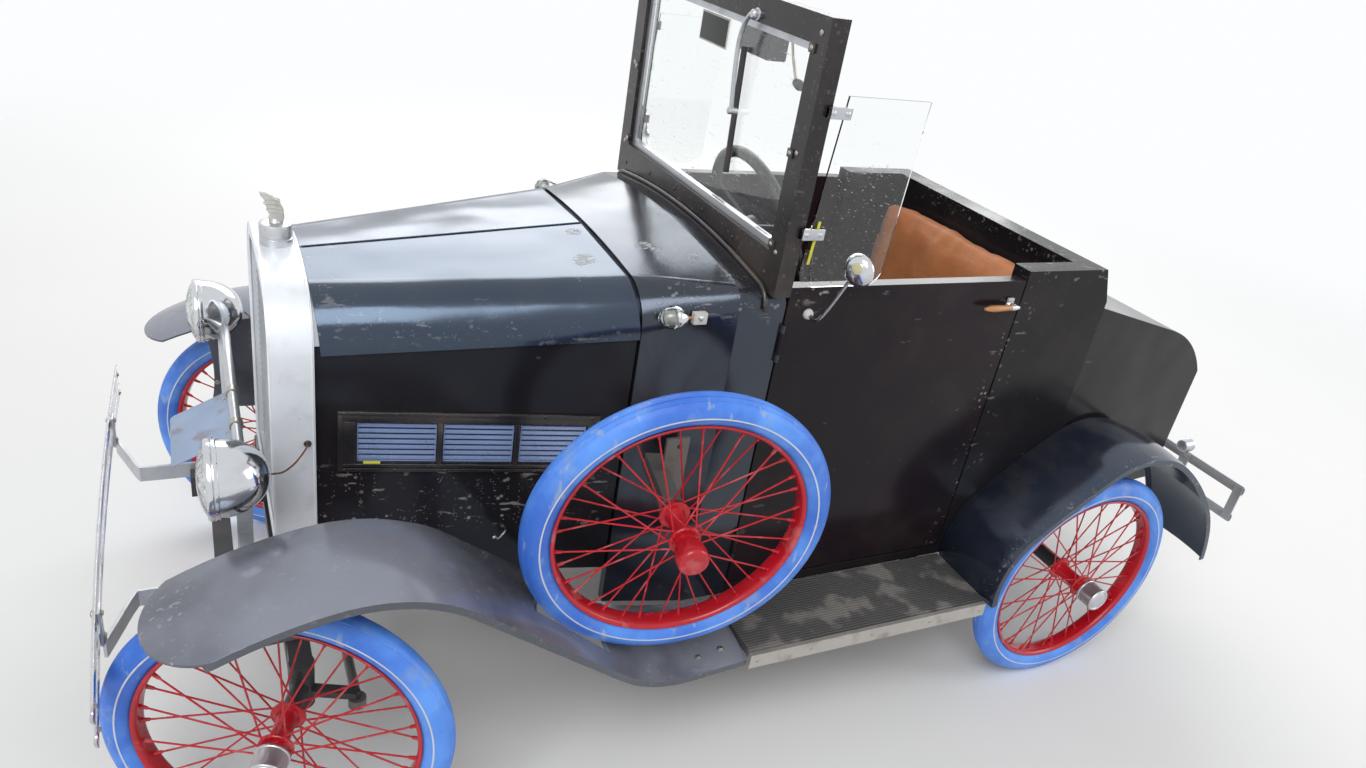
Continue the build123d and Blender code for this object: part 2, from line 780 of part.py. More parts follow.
# Dashboard across the cowl's rear
dash_depth = 14.0
dash_bottom = 735.0
with BuildPart() as dashboard:
    with BuildSketch(Plane.YZ.offset(cowl_rear_x + 2)):
        outline = shoulder_outline(
            body_half_width - cowl_wall - 0.5,
            dash_bottom,
            cowl_top - cowl_wall - 0.5,
            cowl_shoulder - cowl_wall + 6,
            cowl_crown,
        )
        make_face(outline)
    extrude(amount=dash_depth)
    add(column_hole.part, mode=Mode.SUBTRACT)
save(dashboard, "dashboard")

# Steering wheel: ring, three flat spokes and a boss on the column's end
steering_radius = 168.0
steering_grip = 11.0
boss_radius = 34.0
wheel_arms = (-20.0, 200.0, 90.0)
arm_reach = steering_radius - steering_grip
steering_plane = Plane(origin=steering_centre, x_dir=Vector(0, 1, 0), z_dir=column_direction)
grip_plane = Plane(
    origin=steering_centre,
    x_dir=Vector(0, 1, 0),
    z_dir=Vector(0, 1, 0).cross(column_direction),
)
with BuildPart() as steering_wheel:
    with BuildSketch(grip_plane):
        with Locations((arm_reach, 0)):
            Circle(steering_grip)
    revolve(axis=Axis(steering_centre, column_direction))
    with BuildSketch(steering_plane.offset(-14)):
        Circle(boss_radius)
    extrude(amount=18)
    with BuildSketch(steering_plane.offset(-8)):
        for angle in wheel_arms:
            with Locations(Location((0, 0, 0), (0, 0, angle))):
                with Locations((arm_reach / 2, 0)):
                    Rectangle(arm_reach, boss_radius)
    extrude(amount=8)
    with BuildSketch(steering_plane.offset(-25)):
        Circle(column_radius)
    extrude(amount=15)
save(steering_wheel, "steering_wheel")

# Rear body: the quarter panels and the cabin's rear wall, with the sills under the doors
wall_bottom = rail_top + seat_gap
quarter_front_x = door_rear_x - door_gap
sill_top = door_bottom - door_gap
with BuildPart() as rear_body:
    with BuildSketch(Plane.XY.offset(wall_bottom)):
        with BuildLine():
            inner_y = body_half_width - quarter_thickness
            Polyline(
                (quarter_front_x, body_half_width),
                (quarter_rear_x, body_half_width),
                (quarter_rear_x, -body_half_width),
                (quarter_front_x, -body_half_width),
                (quarter_front_x, -inner_y),
                (rear_wall_front_x, -inner_y),
                (rear_wall_front_x, inner_y),
                (quarter_front_x, inner_y),
                close=True,
            )
        make_face()
    extrude(amount=quarter_top - wall_bottom)
    with BuildSketch(side_plane(-body_half_width - 1)):
        with BuildLine():
            Polyline(
                (rear_wall_front_x - rear_wall_top_depth, quarter_top + 1),
                (quarter_rear_x - 1, quarter_top - 72),
                (quarter_rear_x - 1, quarter_top + 1),
                close=True,
            )
        make_face()
    extrude(amount=-2 * body_half_width - 2, mode=Mode.SUBTRACT)
    for side in (-1, 1):
        with BuildSketch(Plane.XY.offset(body_bottom)):
            with Locations(
                (
                    (quarter_front_x + quarter_rear_x) / 2,
                    side * (body_half_width - quarter_thickness / 2),
                )
            ):
                Rectangle(quarter_front_x - quarter_rear_x, quarter_thickness)
        extrude(amount=wall_bottom - body_bottom)
        with BuildSketch(Plane.XY.offset(body_bottom)):
            with Locations(
                (
                    (cowl_rear_x + quarter_front_x) / 2,
                    side * (body_half_width - sill_thickness / 2),
                )
            ):
                Rectangle(cowl_rear_x - quarter_front_x - 2 * seat_gap, sill_thickness)
        extrude(amount=sill_top - body_bottom)
save(rear_body, "rear_body")

# Tail: the closed deck behind the cabin, rounded down to the rear
tail_front_x = quarter_rear_x - 0.4
tail_length = 504.6
tail_rear_x = tail_front_x - tail_length
tail_deck_length = 287.6
tail_deck_rear_top = 756.0
tail_back_top = 500.0
tail_deck_front = 834.0
tail_bottom = 345.0
tail_rear_half_width = 285.0
tail_corner = 50.0
with BuildPart() as tail:
    with BuildSketch(side_plane(-body_half_width)):
        with BuildLine():
            deck_end = (tail_front_x - tail_deck_length, tail_deck_rear_top)
            back_top = (tail_rear_x, tail_back_top)
            Line((tail_front_x, tail_bottom), (tail_front_x, tail_deck_front))
            slope = Line((tail_front_x, tail_deck_front), deck_end)
            TangentArc(deck_end, back_top, tangent=slope % 1)
            Line(back_top, (tail_rear_x + 6, tail_bottom))
            Line((tail_rear_x + 6, tail_bottom), (tail_front_x, tail_bottom))
        make_face()
    extrude(amount=-2 * body_half_width)
    with BuildSketch(Plane.XY):
        with BuildLine():
            Polyline(
                (tail_front_x, body_half_width),
                (tail_rear_x + tail_corner, tail_rear_half_width),
                (tail_rear_x, tail_rear_half_width - tail_corner),
                (tail_rear_x, -tail_rear_half_width + tail_corner),
                (tail_rear_x + tail_corner, -tail_rear_half_width),
                (tail_front_x, -body_half_width),
                close=True,
            )
        make_face()
    extrude(amount=quarter_top, mode=Mode.INTERSECT)
save(tail, "tail")

# Seat: cushion and back
seat_front_x = -82.0
seat_height = 130.0
seat_back_top = 885.0
with BuildPart() as cushion:
    with BuildSketch(Plane.XY.offset(floor_top + seat_gap)):
        with Locations(((seat_front_x + rear_wall_front_x + seat_gap) / 2, 0)):
            Rectangle(seat_front_x - rear_wall_front_x - seat_gap, 2 * cabin_half_width)
    extrude(amount=seat_height)
    fillet(cushion.edges().group_by(Axis.Z)[-1], 25)

with BuildPart() as seat:
    with BuildSketch(side_plane(-cabin_half_width)):
        with BuildLine():
            Polyline(
                (rear_wall_front_x + seat_gap, floor_top + seat_height + 2 * seat_gap),
                (rear_wall_front_x + 95, floor_top + seat_height + 2 * seat_gap),
                (rear_wall_front_x + 55, seat_back_top),
                (rear_wall_front_x + seat_gap, seat_back_top),
                close=True,
            )
        make_face()
    extrude(amount=-2 * cabin_half_width)
    fillet(seat.edges().group_by(Axis.Z)[-1], 16)
    add(cushion.part)
save(seat, "seat")

# Doors: flat panels hinged at their front edge, with an outside lever at the rear edge
handle_x = door_rear_x + 24
handle_z = 852.0
mirror_inset = 43.0
mirror_reach = 92.0
mirror_rise = 116.0
mirror_base = Vector(door_front_x - mirror_inset, body_half_width, handle_z)
mirror_centre = mirror_base + Vector(-9, mirror_reach, mirror_rise)
mirror_radius = 27.0
for side, place in ((1, "left"), (-1, "right")):
    with BuildPart() as door:
        with BuildSketch(side_plane(side * body_half_width)):
            with BuildLine():
                Polyline(
                    (door_front_x, door_bottom),
                    (door_front_x, door_top),
                    (door_rear_x, door_top),
                    (door_rear_x, door_bottom),
                    close=True,
                )
            make_face()
        extrude(amount=side * door_thickness)
        for height in hinge_heights:
            low = height - hinge_length / 2
            high = height + hinge_length / 2
            for start, end in ((low - hinge_knuckle, low), (high, high + hinge_knuckle)):
                knuckle_space = hinge_rod(side, start - seat_gap, end + seat_gap, hinge_radius + seat_gap)
                add(knuckle_space, mode=Mode.SUBTRACT)
            add(hinge_rod(side, low, high, hinge_radius))
            pin_space = hinge_rod(side, low - seat_gap, high + seat_gap, hinge_pin_radius + hinge_clearance)
            add(pin_space, mode=Mode.SUBTRACT)
    save(door, f"door_{place}")

    with BuildPart() as door_handle:
        with BuildSketch(side_plane(side * body_half_width)):
            with Locations((handle_x, handle_z)):
                Circle(10)
        extrude(amount=-side * 14)
        with BuildSketch(side_plane(side * (body_half_width + 10))):
            with Locations((handle_x + 31, handle_z)):
                SlotOverall(86, 13)
        extrude(amount=-side * 9)
    save(door_handle, f"door_handle_{place}")

    arm_start = Vector(mirror_base.X, side * mirror_base.Y, mirror_base.Z)
    head = Vector(mirror_centre.X, side * mirror_centre.Y, mirror_centre.Z)
    facing = Vector(-0.92, -side * 0.38, 0.05).normalized()
    with BuildPart() as door_mirror:
        with BuildSketch(side_plane(side * body_half_width)):
            with Locations((arm_start.X, arm_start.Z)):
                Circle(9)
        extrude(amount=-side * 8)
        shank = arm_start + Vector(0, side * 6, 0)
        with BuildSketch(Plane(origin=shank, z_dir=head - shank)):
            Circle(3.5)
        extrude(amount=(head - shank).length)
        with BuildSketch(Plane(origin=head - facing * 14, z_dir=facing)):
            Circle(mirror_radius)
        extrude(amount=14)
    save(door_mirror, f"door_mirror_{place}")

# Windscreen: upright black frame, bright inner rim and base strip, glass
inner_half_width = screen_half_width - screen_member
inner_bottom = screen_bottom + screen_member
inner_top = screen_top - screen_member
with BuildPart() as windscreen_frame:
    with BuildSketch(Plane.YZ.offset(screen_x - screen_depth / 2)):
        with Locations((0, (screen_foot + screen_top) / 2)):
            Rectangle(2 * screen_half_width, screen_top - screen_foot)
        make_face(
            shoulder_outline(
                body_half_width + seat_gap,
                body_bottom,
                cowl_top + seat_gap,
                cowl_shoulder,
                cowl_crown,
            ),
            mode=Mode.SUBTRACT,
        )
        with Locations((0, (inner_bottom + inner_top) / 2)):
            Rectangle(2 * inner_half_width, inner_top - inner_bottom, mode=Mode.SUBTRACT)
    extrude(amount=screen_depth)
save(windscreen_frame, "windscreen_frame")

with BuildPart() as windscreen_rim:
    with BuildSketch(Plane.YZ.offset(screen_x - 8)):
        with Locations((0, (inner_bottom + inner_top) / 2)):
            Rectangle(2 * inner_half_width - 0.4, inner_top - inner_bottom - 0.4)
            Rectangle(
                2 * (inner_half_width - screen_rim),
                inner_top - inner_bottom - 2 * screen_rim,
                mode=Mode.SUBTRACT,
            )
    extrude(amount=16)
save(windscreen_rim, "windscreen_rim")

with BuildPart() as windscreen_glass:
    with BuildSketch(Plane.YZ.offset(screen_x - glass_thickness / 2)):
        with Locations((0, (inner_bottom + inner_top) / 2)):
            Rectangle(
                2 * (inner_half_width - screen_rim) - 0.4,
                inner_top - inner_bottom - 2 * screen_rim - 0.4,
            )
    extrude(amount=glass_thickness)
save(windscreen_glass, "windscreen_glass")

# Wiper: pivot, tube arm and blade in front of the glass
wiper_y = 99.0
wiper_pivot_y = 132.0
wiper_pivot_drop = 31.0
wiper_length = 168.0
wiper_pivot = Vector(screen_x + screen_depth / 2, wiper_pivot_y, screen_top - wiper_pivot_drop)
wiper_drop = Vector(0, wiper_y - wiper_pivot_y, -wiper_length)
wiper_blade = (7.0, 210.0, 12.0)
wiper_blade_z = wiper_pivot.Z - wiper_length + 7
blade_x = screen_x + glass_thickness / 2 + 1
with BuildPart() as wiper:
    with BuildSketch(Plane.YZ.offset(wiper_pivot.X)):
        with Locations((wiper_pivot.Y, wiper_pivot.Z)):
            Circle(9)
    extrude(amount=12)
    with BuildSketch(Plane(origin=wiper_pivot + Vector(8, 0, 0), z_dir=wiper_drop)):
        Circle(4.5)
    extrude(amount=wiper_drop.length)
    with BuildSketch(Plane.YZ.offset(blade_x)):
        with Locations((wiper_y, wiper_blade_z)):
            Rectangle(wiper_blade[0], wiper_blade[1])
    extrude(amount=wiper_blade[2])
    with BuildSketch(Plane.YZ.offset(blade_x)):
        with Locations((wiper_y, wiper_blade_z)):
            Circle(7)
    extrude(amount=wiper_pivot.X + 10 - blade_x)
save(wiper, "wiper")

# Wind wings: clear panes, each held by two clips on the windscreen's post
wing_y = screen_half_width + seat_gap
wing_front_x = screen_x - screen_depth / 2 - 4
wing_bottom = door_top + 9.0
wing_top = 1215.0
wing_corner = 30.0
wing_knee = wing_bottom + wing_corner
wing_rear_x = wing_front_x - 165
corner_share = 0.3
wing_pane = 4.0
clip_levels = (1000.0, 1190.0)
clip_span = (158.0, 200.0)
clip_size = (16.0, 7.0)
with BuildPart() as wind_wings:
    with BuildSketch(side_plane(wing_y)):
        with BuildLine():
            inward = wing_corner * corner_share
            Line((wing_front_x, wing_knee), (wing_front_x - 20, wing_top))
            Line((wing_front_x - 20, wing_top), (wing_rear_x - 10, wing_top))
            Line((wing_rear_x - 10, wing_top), (wing_rear_x, wing_knee))
            ThreePointArc(
                (wing_rear_x, wing_knee),
                (wing_rear_x + inward, wing_bottom + inward),
                (wing_rear_x + wing_corner, wing_bottom),
            )
            Line((wing_rear_x + wing_corner, wing_bottom), (wing_front_x - wing_corner, wing_bottom))
            ThreePointArc(
                (wing_front_x - wing_corner, wing_bottom),
                (wing_front_x - inward, wing_bottom + inward),
                (wing_front_x, wing_knee),
            )
        make_face()
    extrude(amount=-wing_pane)
    for level in clip_levels:
        with BuildSketch(side_plane(wing_y)):
            with Locations((sum(clip_span) / 2, level)):
                Rectangle(clip_span[1] - clip_span[0], clip_size[0])
        extrude(amount=-clip_size[1])
    mirror(about=Plane.XZ)
save(wind_wings, "wind_wings")

# Running boards: ribbed mat on a board, with a bright edge
with BuildPart() as running_boards:
    with BuildSketch(Plane.XY.offset(board_top - board_thickness)):
        with Locations(
            (
                (board_front_x + board_rear_x) / 2,
                (body_half_width + 1 + board_outer_y - board_edge_width) / 2,
            )
        ):
            Rectangle(
                board_front_x - board_rear_x,
                board_outer_y - board_edge_width - body_half_width - 1,
            )
    extrude(amount=board_thickness)
    mirror(about=Plane.XZ)
save(running_boards, "running_boards")

with BuildPart() as board_edges:
    with BuildSketch(Plane.XY.offset(board_top - board_edge_height)):
        with Locations(((board_front_x + board_rear_x) / 2, board_outer_y - board_edge_width / 2)):
            Rectangle(board_front_x - board_rear_x, board_edge_width)
    extrude(amount=board_edge_height)
    mirror(about=Plane.XZ)
save(board_edges, "board_edges")


def fender_section(plane, inner, outer, crown, flange):
    """Crowned sheet across the fender, with its lip turned down outside and a flange inside."""
    half = (outer - inner) / 2
    with BuildSketch(plane) as section:
        with BuildLine():
            ThreePointArc((-half, -crown), (0, 0), (half, -crown))
            Line((half, -crown), (half, -crown - fender_lip))
            Line((half, -crown - fender_lip), (half - fender_sheet, -crown - fender_lip))
            Line((half - fender_sheet, -crown - fender_lip), (half - fender_sheet, -crown - fender_sheet))
            ThreePointArc(
                (half - fender_sheet, -crown - fender_sheet),
                (0, -fender_sheet),
                (-half + fender_sheet, -crown - fender_sheet),
            )
            Line((-half + fender_sheet, -crown - fender_sheet), (-half + fender_sheet, -crown - flange))
            Line((-half + fender_sheet, -crown - flange), (-half, -crown - flange))
            Line((-half, -crown - flange), (-half, -crown))
        make_face()
    return section


# Front fenders: one long sweep from the nose over the wheel and down to the running board, splayed
# outwards to the front, each with a valance inside that shuts off the space beside the axle
front_fender_y = (front_fender_inner_y + front_fender_outer_y) / 2
fender_foot = board_top - 2
fender_splay = 4.3
well_clearance = 3.0
front_fender_foot_x = 335.0
front_fender_rise = (200.0, 38.5)
front_fender_ramp = 335.0
brow_set = (-12.0, 319.0)
nose_set = (210.0, 249.0)
tip_set = (128.0, 168.0, 207.0)
valance_y = 302.0
waist_x = 620.0
valance_rear = 115.0
valance_front = 96.0
valance_bottom = 362.0
valance_hollow = 14.0
valance_lap = 9.5
with BuildPart() as splayed_fender:
    with BuildLine(side_plane(front_fender_y)) as sweep_path:
        foot = Line((board_front_x - 20, fender_foot), (front_fender_foot_x, fender_foot))
        rise_radius, rise_turn = front_fender_rise
        rise = JernArc(start=foot @ 1, tangent=foot % 1, radius=rise_radius, arc_size=rise_turn)
        ramp = PolarLine(start=rise @ 1, length=front_fender_ramp, direction=rise % 1)
        brow_end = (front_axle_x + brow_set[0], wheel_height + brow_set[1])
        nose_end = (front_axle_x + nose_set[0], wheel_height + nose_set[1])
        brow = TangentArc(ramp @ 1, brow_end, tangent=ramp % 1)
        nose = TangentArc(brow @ 1, nose_end, tangent=brow % 1)
    section = fender_section(
        Plane(origin=foot @ 0, x_dir=(0, 1, 0), z_dir=foot % 0),
        front_fender_inner_y,
        front_fender_outer_y,
        front_fender_crown,
        fender_lip,
    )
    sweep(sections=section.sketch, path=sweep_path.wires()[0])
    with BuildSketch(side_plane(valance_y)):
        with BuildLine():
            rear_x = front_axle_x - valance_rear
            front_x = front_axle_x + valance_front
            upper = [(rear_x, (brow @ 0.6).Z - valance_lap)]
            for share in (0.0, 0.15, 0.3, 0.45, 0.6):
                spot = nose @ share
                if spot.X < front_x:
                    upper.append((spot.X, spot.Z - valance_lap))
            upper.append((front_x, (nose @ 0.5).Z - valance_lap - 2))
            waist = (front_x - valance_hollow, (upper[-1][1] + valance_bottom) / 2)
            Polyline(*upper)
            ThreePointArc(upper[-1], waist, (front_x - 4, valance_bottom))
            Polyline((front_x - 4, valance_bottom), (rear_x + 30, valance_bottom), upper[0])
        make_face()
    extrude(amount=-fender_sheet)
    with BuildSketch(Plane.XY):
        with BuildLine():
            outer_tip = (front_axle_x + tip_set[0], front_fender_outer_y + 1)
            inner_tip = (front_axle_x + tip_set[1], valance_y)
            inner_line = front_fender_inner_y - 1
            Polyline(
                outer_tip,
                (0, outer_tip[1]),
                (0, inner_line),
                (waist_x, inner_line),
                (front_axle_x - valance_rear - 40, valance_y),
                inner_tip,
            )
            ThreePointArc(inner_tip, (front_axle_x + tip_set[2], front_fender_y + 8), outer_tip)
        make_face()
    extrude(amount=hood_rear_top, mode=Mode.INTERSECT)
splay_axis = Axis((board_front_x, front_fender_y, 0), (0, 0, 1))
with BuildPart() as front_fenders:
    add(splayed_fender.part.rotate(splay_axis, fender_splay))
    with BuildSketch(Plane.XY):
        body_side = body_half_width + 2 * seat_gap
        hood_side = hood_rear_half_width + 2 * seat_gap
        with BuildLine():
            Polyline(
                (board_front_x + 1, body_side),
                (post_front_x, body_side),
                (hood_rear_x, hood_side),
                (hood_rear_x + 8, 0),
                (front_bumper_x, 0),
                (front_bumper_x, 2 * body_half_width),
                (board_front_x + 1, 2 * body_half_width),
                close=True,
            )
        make_face()
    extrude(amount=hood_rear_top, mode=Mode.INTERSECT)
    mirror(about=Plane.XZ)
    with BuildSketch(Plane(origin=spare_plane.origin, z_dir=spare_out)):
        Circle(tyre_radius + well_clearance)
    extrude(amount=tyre_width / 2 + well_clearance, both=True, mode=Mode.SUBTRACT)
save(front_fenders, "front_fenders")

# Rear fenders: a round sweep from a low tail over the wheel down onto the running board
rear_fender_inner_y = body_half_width + 2 * seat_gap
rear_fender_y = (rear_fender_inner_y + rear_fender_outer_y) / 2
tail_rise = radians(78.6)
fender_foot_gap = 3.0
rear_fender_ends = ((-404, 4), (-315, 178), (-186, 286), (-56, 324), (54, 290), (212, 170))
rear_spots = [(rear_axle_x + along, wheel_height + rise) for along, rise in rear_fender_ends]
with BuildPart() as rear_fenders:
    with BuildLine(side_plane(rear_fender_y)) as rear_path:
        tail_start = Vector(cos(tail_rise), 0, sin(tail_rise))
        tail_line = TangentArc(rear_spots[0], rear_spots[1], tangent=tail_start)
        last_arc = tail_line
        for spot in rear_spots[2:]:
            last_arc = TangentArc(last_arc @ 1, spot, tangent=last_arc % 1)
        board_end = (board_rear_x - fender_sheet - fender_foot_gap, board_top - board_thickness)
        TangentArc(last_arc @ 1, board_end, tangent=last_arc % 1)
    section = fender_section(
        Plane(origin=tail_line @ 0, x_dir=(0, 1, 0), z_dir=tail_line % 0),
        rear_fender_inner_y,
        rear_fender_outer_y,
        rear_fender_crown,
        fender_lip,
    )
    sweep(sections=section.sketch, path=rear_path.wires()[0])
    mirror(about=Plane.XZ)
save(rear_fenders, "rear_fenders")

# Spare wheel bracket: an arm from the cowl to the hub, and an upright flat iron with a hole
arm_size = 30.0
iron_centre = (354.0, 588.0)
iron_size = (42.0, 116.0)
iron_y = body_half_width + 20
iron_thickness = 6.0
iron_hole = (350.0, 630.0)
iron_hole_radius = 5.0
with BuildPart() as spare_bracket:
    hub_back = spare_plane.origin - spare_out * (hub_inner_end + 0.5)
    with BuildSketch(Plane(origin=hub_back, z_dir=spare_out * -1)):
        Circle(spindle_radius + 14)
    extrude(amount=8)
    with BuildSketch(Plane(origin=hub_back, x_dir=(1, 0, 0), z_dir=spare_out * -1)):
        Rectangle(arm_size, arm_size)
    extrude(amount=hub_back.Y - hood_rear_half_width)
    with BuildSketch(side_plane(iron_y)):
        with Locations(iron_centre):
            Rectangle(iron_size[0], iron_size[1])
    extrude(amount=-iron_thickness)
    with BuildSketch(side_plane(iron_y)):
        with Locations(iron_hole):
            Circle(iron_hole_radius)
    extrude(amount=-iron_thickness, mode=Mode.SUBTRACT)
    add(cowl.part, mode=Mode.SUBTRACT)
save(spare_bracket, "spare_bracket")

# Headlamps: bullet shells on flat posts, joined by a cross-bar
lamp_tip_radius = 6.0
with BuildPart() as headlamps:
    with BuildSketch(side_plane(lamp_y)):
        with BuildLine():
            tip = (lamp_front_x - lamp_depth, lamp_z + lamp_tip_radius)
            belt = (lamp_front_x - 26, lamp_z + lamp_radius - 2)
            Line((tip[0], lamp_z), (lamp_front_x - 6, lamp_z))
            Polyline(
                (lamp_front_x - 6, lamp_z),
                (lamp_front_x - 6, lamp_z + lamp_radius - 8),
                (lamp_front_x, lamp_z + lamp_radius - 5),
                (lamp_front_x - 2, lamp_z + lamp_radius),
                (lamp_front_x - 22, lamp_z + lamp_radius),
                belt,
            )
            ThreePointArc(belt, (lamp_front_x - 74, lamp_z + 41), tip)
            Line(tip, (tip[0], lamp_z))
        make_face()
    revolve(axis=Axis((0, lamp_y, lamp_z), (1, 0, 0)))
    mirror(about=Plane.XZ)
save(headlamps, "headlamps")

with BuildPart() as headlamp_lenses:
    with BuildSketch(Plane.YZ.offset(lamp_front_x - 5.7)):
        with Locations((lamp_y, lamp_z), (-lamp_y, lamp_z)):
            Circle(lamp_radius - 8)
    extrude(amount=6)
save(headlamp_lenses, "headlamp_lenses")

bar_x = lamp_front_x - 60
bar_z = lamp_z - 14
bar_radius = 8.0
post_width = 22.0
post_thickness = 6.0
post_foot_y = rail_y + rail_width / 2 - 8
fender_stay_z = 480.0
stay_reach = (bar_x - post_width / 2 - board_front_x) * sin(radians(fender_splay))
stay_end = valance_y + stay_reach - seat_gap
with BuildPart() as lamp_bar:
    with BuildSketch(side_plane(-lamp_y)):
        with Locations((bar_x, bar_z)):
            Circle(bar_radius)
    extrude(amount=-2 * lamp_y)
    for side in (-1, 1):
        foot_point = Vector(bar_x, side * post_foot_y, rail_top + seat_gap + post_thickness / 2)
        head_point = Vector(bar_x, side * lamp_y, lamp_z - lamp_radius + 20)
        rise = head_point - foot_point
        with BuildSketch(Plane(origin=foot_point, x_dir=(1, 0, 0), z_dir=rise)):
            Rectangle(post_width, post_thickness)
        extrude(amount=rise.length)
        with BuildSketch(Plane.XY.offset(rail_top + seat_gap)):
            with Locations((bar_x, side * rail_y)):
                Rectangle(post_width + 14, rail_width)
        extrude(amount=post_thickness)
        stay_share = (fender_stay_z - rail_top) / (head_point.Z - rail_top)
        stay_from = post_foot_y + (lamp_y - post_foot_y) * stay_share
        with BuildSketch(Plane.XY.offset(fender_stay_z)):
            with Locations((bar_x, side * (stay_from + stay_end) / 2)):
                Rectangle(post_width, stay_end - stay_from)
        extrude(amount=post_thickness)
    add(headlamps.part, mode=Mode.SUBTRACT)
save(lamp_bar, "lamp_bar")

# Number plate: a small blank plate clipped to the cross-bar, sloping forward and down
plate_width = 152.0
plate_height = 100.0
plate_thickness = 1.5
plate_slope = radians(26)
plate_y = 64.0
clip_wall = 2.5
clip_width = 14.0
clip_offset = 52.0
plate_origin = Vector(bar_x + bar_radius / 2, plate_y, bar_z - bar_radius - clip_wall + seat_gap)
with BuildPart() as number_plate:
    with BuildSketch(
        Plane(
            origin=plate_origin,
            x_dir=(0, 1, 0),
            z_dir=(sin(plate_slope), 0, cos(plate_slope)),
        )
    ):
        with Locations((0, -plate_height / 2)):
            RectangleRounded(plate_width, plate_height, 8)
    extrude(amount=plate_thickness)
    for side in (-1, 1):
        with BuildSketch(side_plane(plate_y + side * clip_offset - clip_width / 2)):
            with Locations((bar_x, bar_z)):
                Circle(bar_radius + clip_wall)
                Circle(bar_radius + seat_gap, mode=Mode.SUBTRACT)
        extrude(amount=-clip_width)
save(number_plate, "number_plate")

# Bumpers: paired flat bars on curved irons
iron_lap = 45.0
front_strap_y = 276.0
iron_offset = 49.0
front_iron_x = front_bumper_x - iron_offset
with BuildPart() as front_bumper:
    face_x = front_bumper_x + bumper_bar_thickness / 2
    back_x = front_bumper_x - bumper_bar_thickness / 2
    for level in range(2):
        low = front_bumper_z + level * bumper_pitch - bumper_bar_height / 2
        with BuildSketch(Plane.XY.offset(low)):
            with BuildLine():
                face_end = (face_x - front_bumper_bow, bumper_half_length)
                back_end = (back_x - front_bumper_bow, bumper_half_length)
                ThreePointArc(face_end, (face_x, 0), (face_end[0], -bumper_half_length))
                ThreePointArc(back_end, (back_x, 0), (back_end[0], -bumper_half_length))
                Line(face_end, back_end)
                Line((face_end[0], -bumper_half_length), (back_end[0], -bumper_half_length))
            make_face()
        extrude(amount=bumper_bar_height)
    strap_x = back_x - front_bumper_bow * (front_strap_y / bumper_half_length) ** 2
    for side in (-1, 1):
        with BuildSketch(Plane.XY.offset(front_bumper_z - 5)):
            with BuildLine():
                Polyline(
                    (strap_x - 1, side * (front_strap_y + 12)),
                    (strap_x - 1, side * (front_strap_y + 2)),
                    (front_iron_x, side * (rail_y + rail_width / 2)),
                    (rail_front_x - iron_lap, side * (rail_y + rail_width / 2)),
                    (rail_front_x - iron_lap, side * (rail_y + rail_width / 2 + bracket_thickness)),
                    (front_iron_x - 4, side * (rail_y + rail_width / 2 + bracket_thickness)),
                    close=True,
                )
            make_face()
        extrude(amount=-30)
        with BuildSketch(Plane.YZ.offset(strap_x + 1)):
            with Locations((side * front_strap_y, front_bumper_z + bumper_pitch / 2)):
                Rectangle(26, bumper_pitch + bumper_bar_height - 4)
        extrude(amount=-6)
save(front_bumper, "front_bumper")

with BuildPart() as rear_bumper:
    for level in range(2):
        with BuildSketch(side_plane(-rear_bumper_half_length)):
            with Locations((rear_bumper_x, rear_bumper_z + level * rear_bumper_pitch)):
                Rectangle(bumper_bar_thickness, bumper_bar_height)
        extrude(amount=-2 * rear_bumper_half_length)
    for side in (-1, 1):
        with BuildSketch(Plane.XY.offset(rail_bottom + 4)):
            with BuildLine():
                Polyline(
                    (rear_bumper_x + bumper_bar_thickness / 2, side * (rear_iron_y + 9)),
                    (rear_bumper_x + bumper_bar_thickness / 2, side * (rear_iron_y - 1)),
                    (-1172, side * (rail_y + rail_width / 2)),
                    (-1090, side * (rail_y + rail_width / 2)),
                    (-1090, side * (rail_y + rail_width / 2 + bracket_thickness)),
                    (-1168, side * (rail_y + rail_width / 2 + bracket_thickness)),
                    close=True,
                )
            make_face()
        extrude(amount=30)
        with BuildSketch(Plane.YZ.offset(rear_bumper_x + bumper_bar_thickness / 2)):
            with Locations((side * rear_iron_y, rear_bumper_z + rear_bumper_pitch / 2)):
                Rectangle(26, rear_bumper_pitch + bumper_bar_height - 4)
        extrude(amount=5)
save(rear_bumper, "rear_bumper")

# Tail lamps on the rear irons, and the side lamps on the cowl
with BuildPart() as tail_lamps:
    lamp_back_x = rear_bumper_x + bumper_bar_thickness / 2 + bracket_thickness
    bar_top = rear_bumper_z + rear_bumper_pitch
    for side in (-1, 1):
        with BuildSketch(Plane.YZ.offset(lamp_back_x)):
            with Locations((side * rear_iron_y, bar_top + 34)):
                Circle(17)
        extrude(amount=34)
        with BuildSketch(Plane.YZ.offset(lamp_back_x)):
            with Locations((side * rear_iron_y, bar_top + 18)):
                Rectangle(14, 34)
        extrude(amount=4)
save(tail_lamps, "tail_lamps")

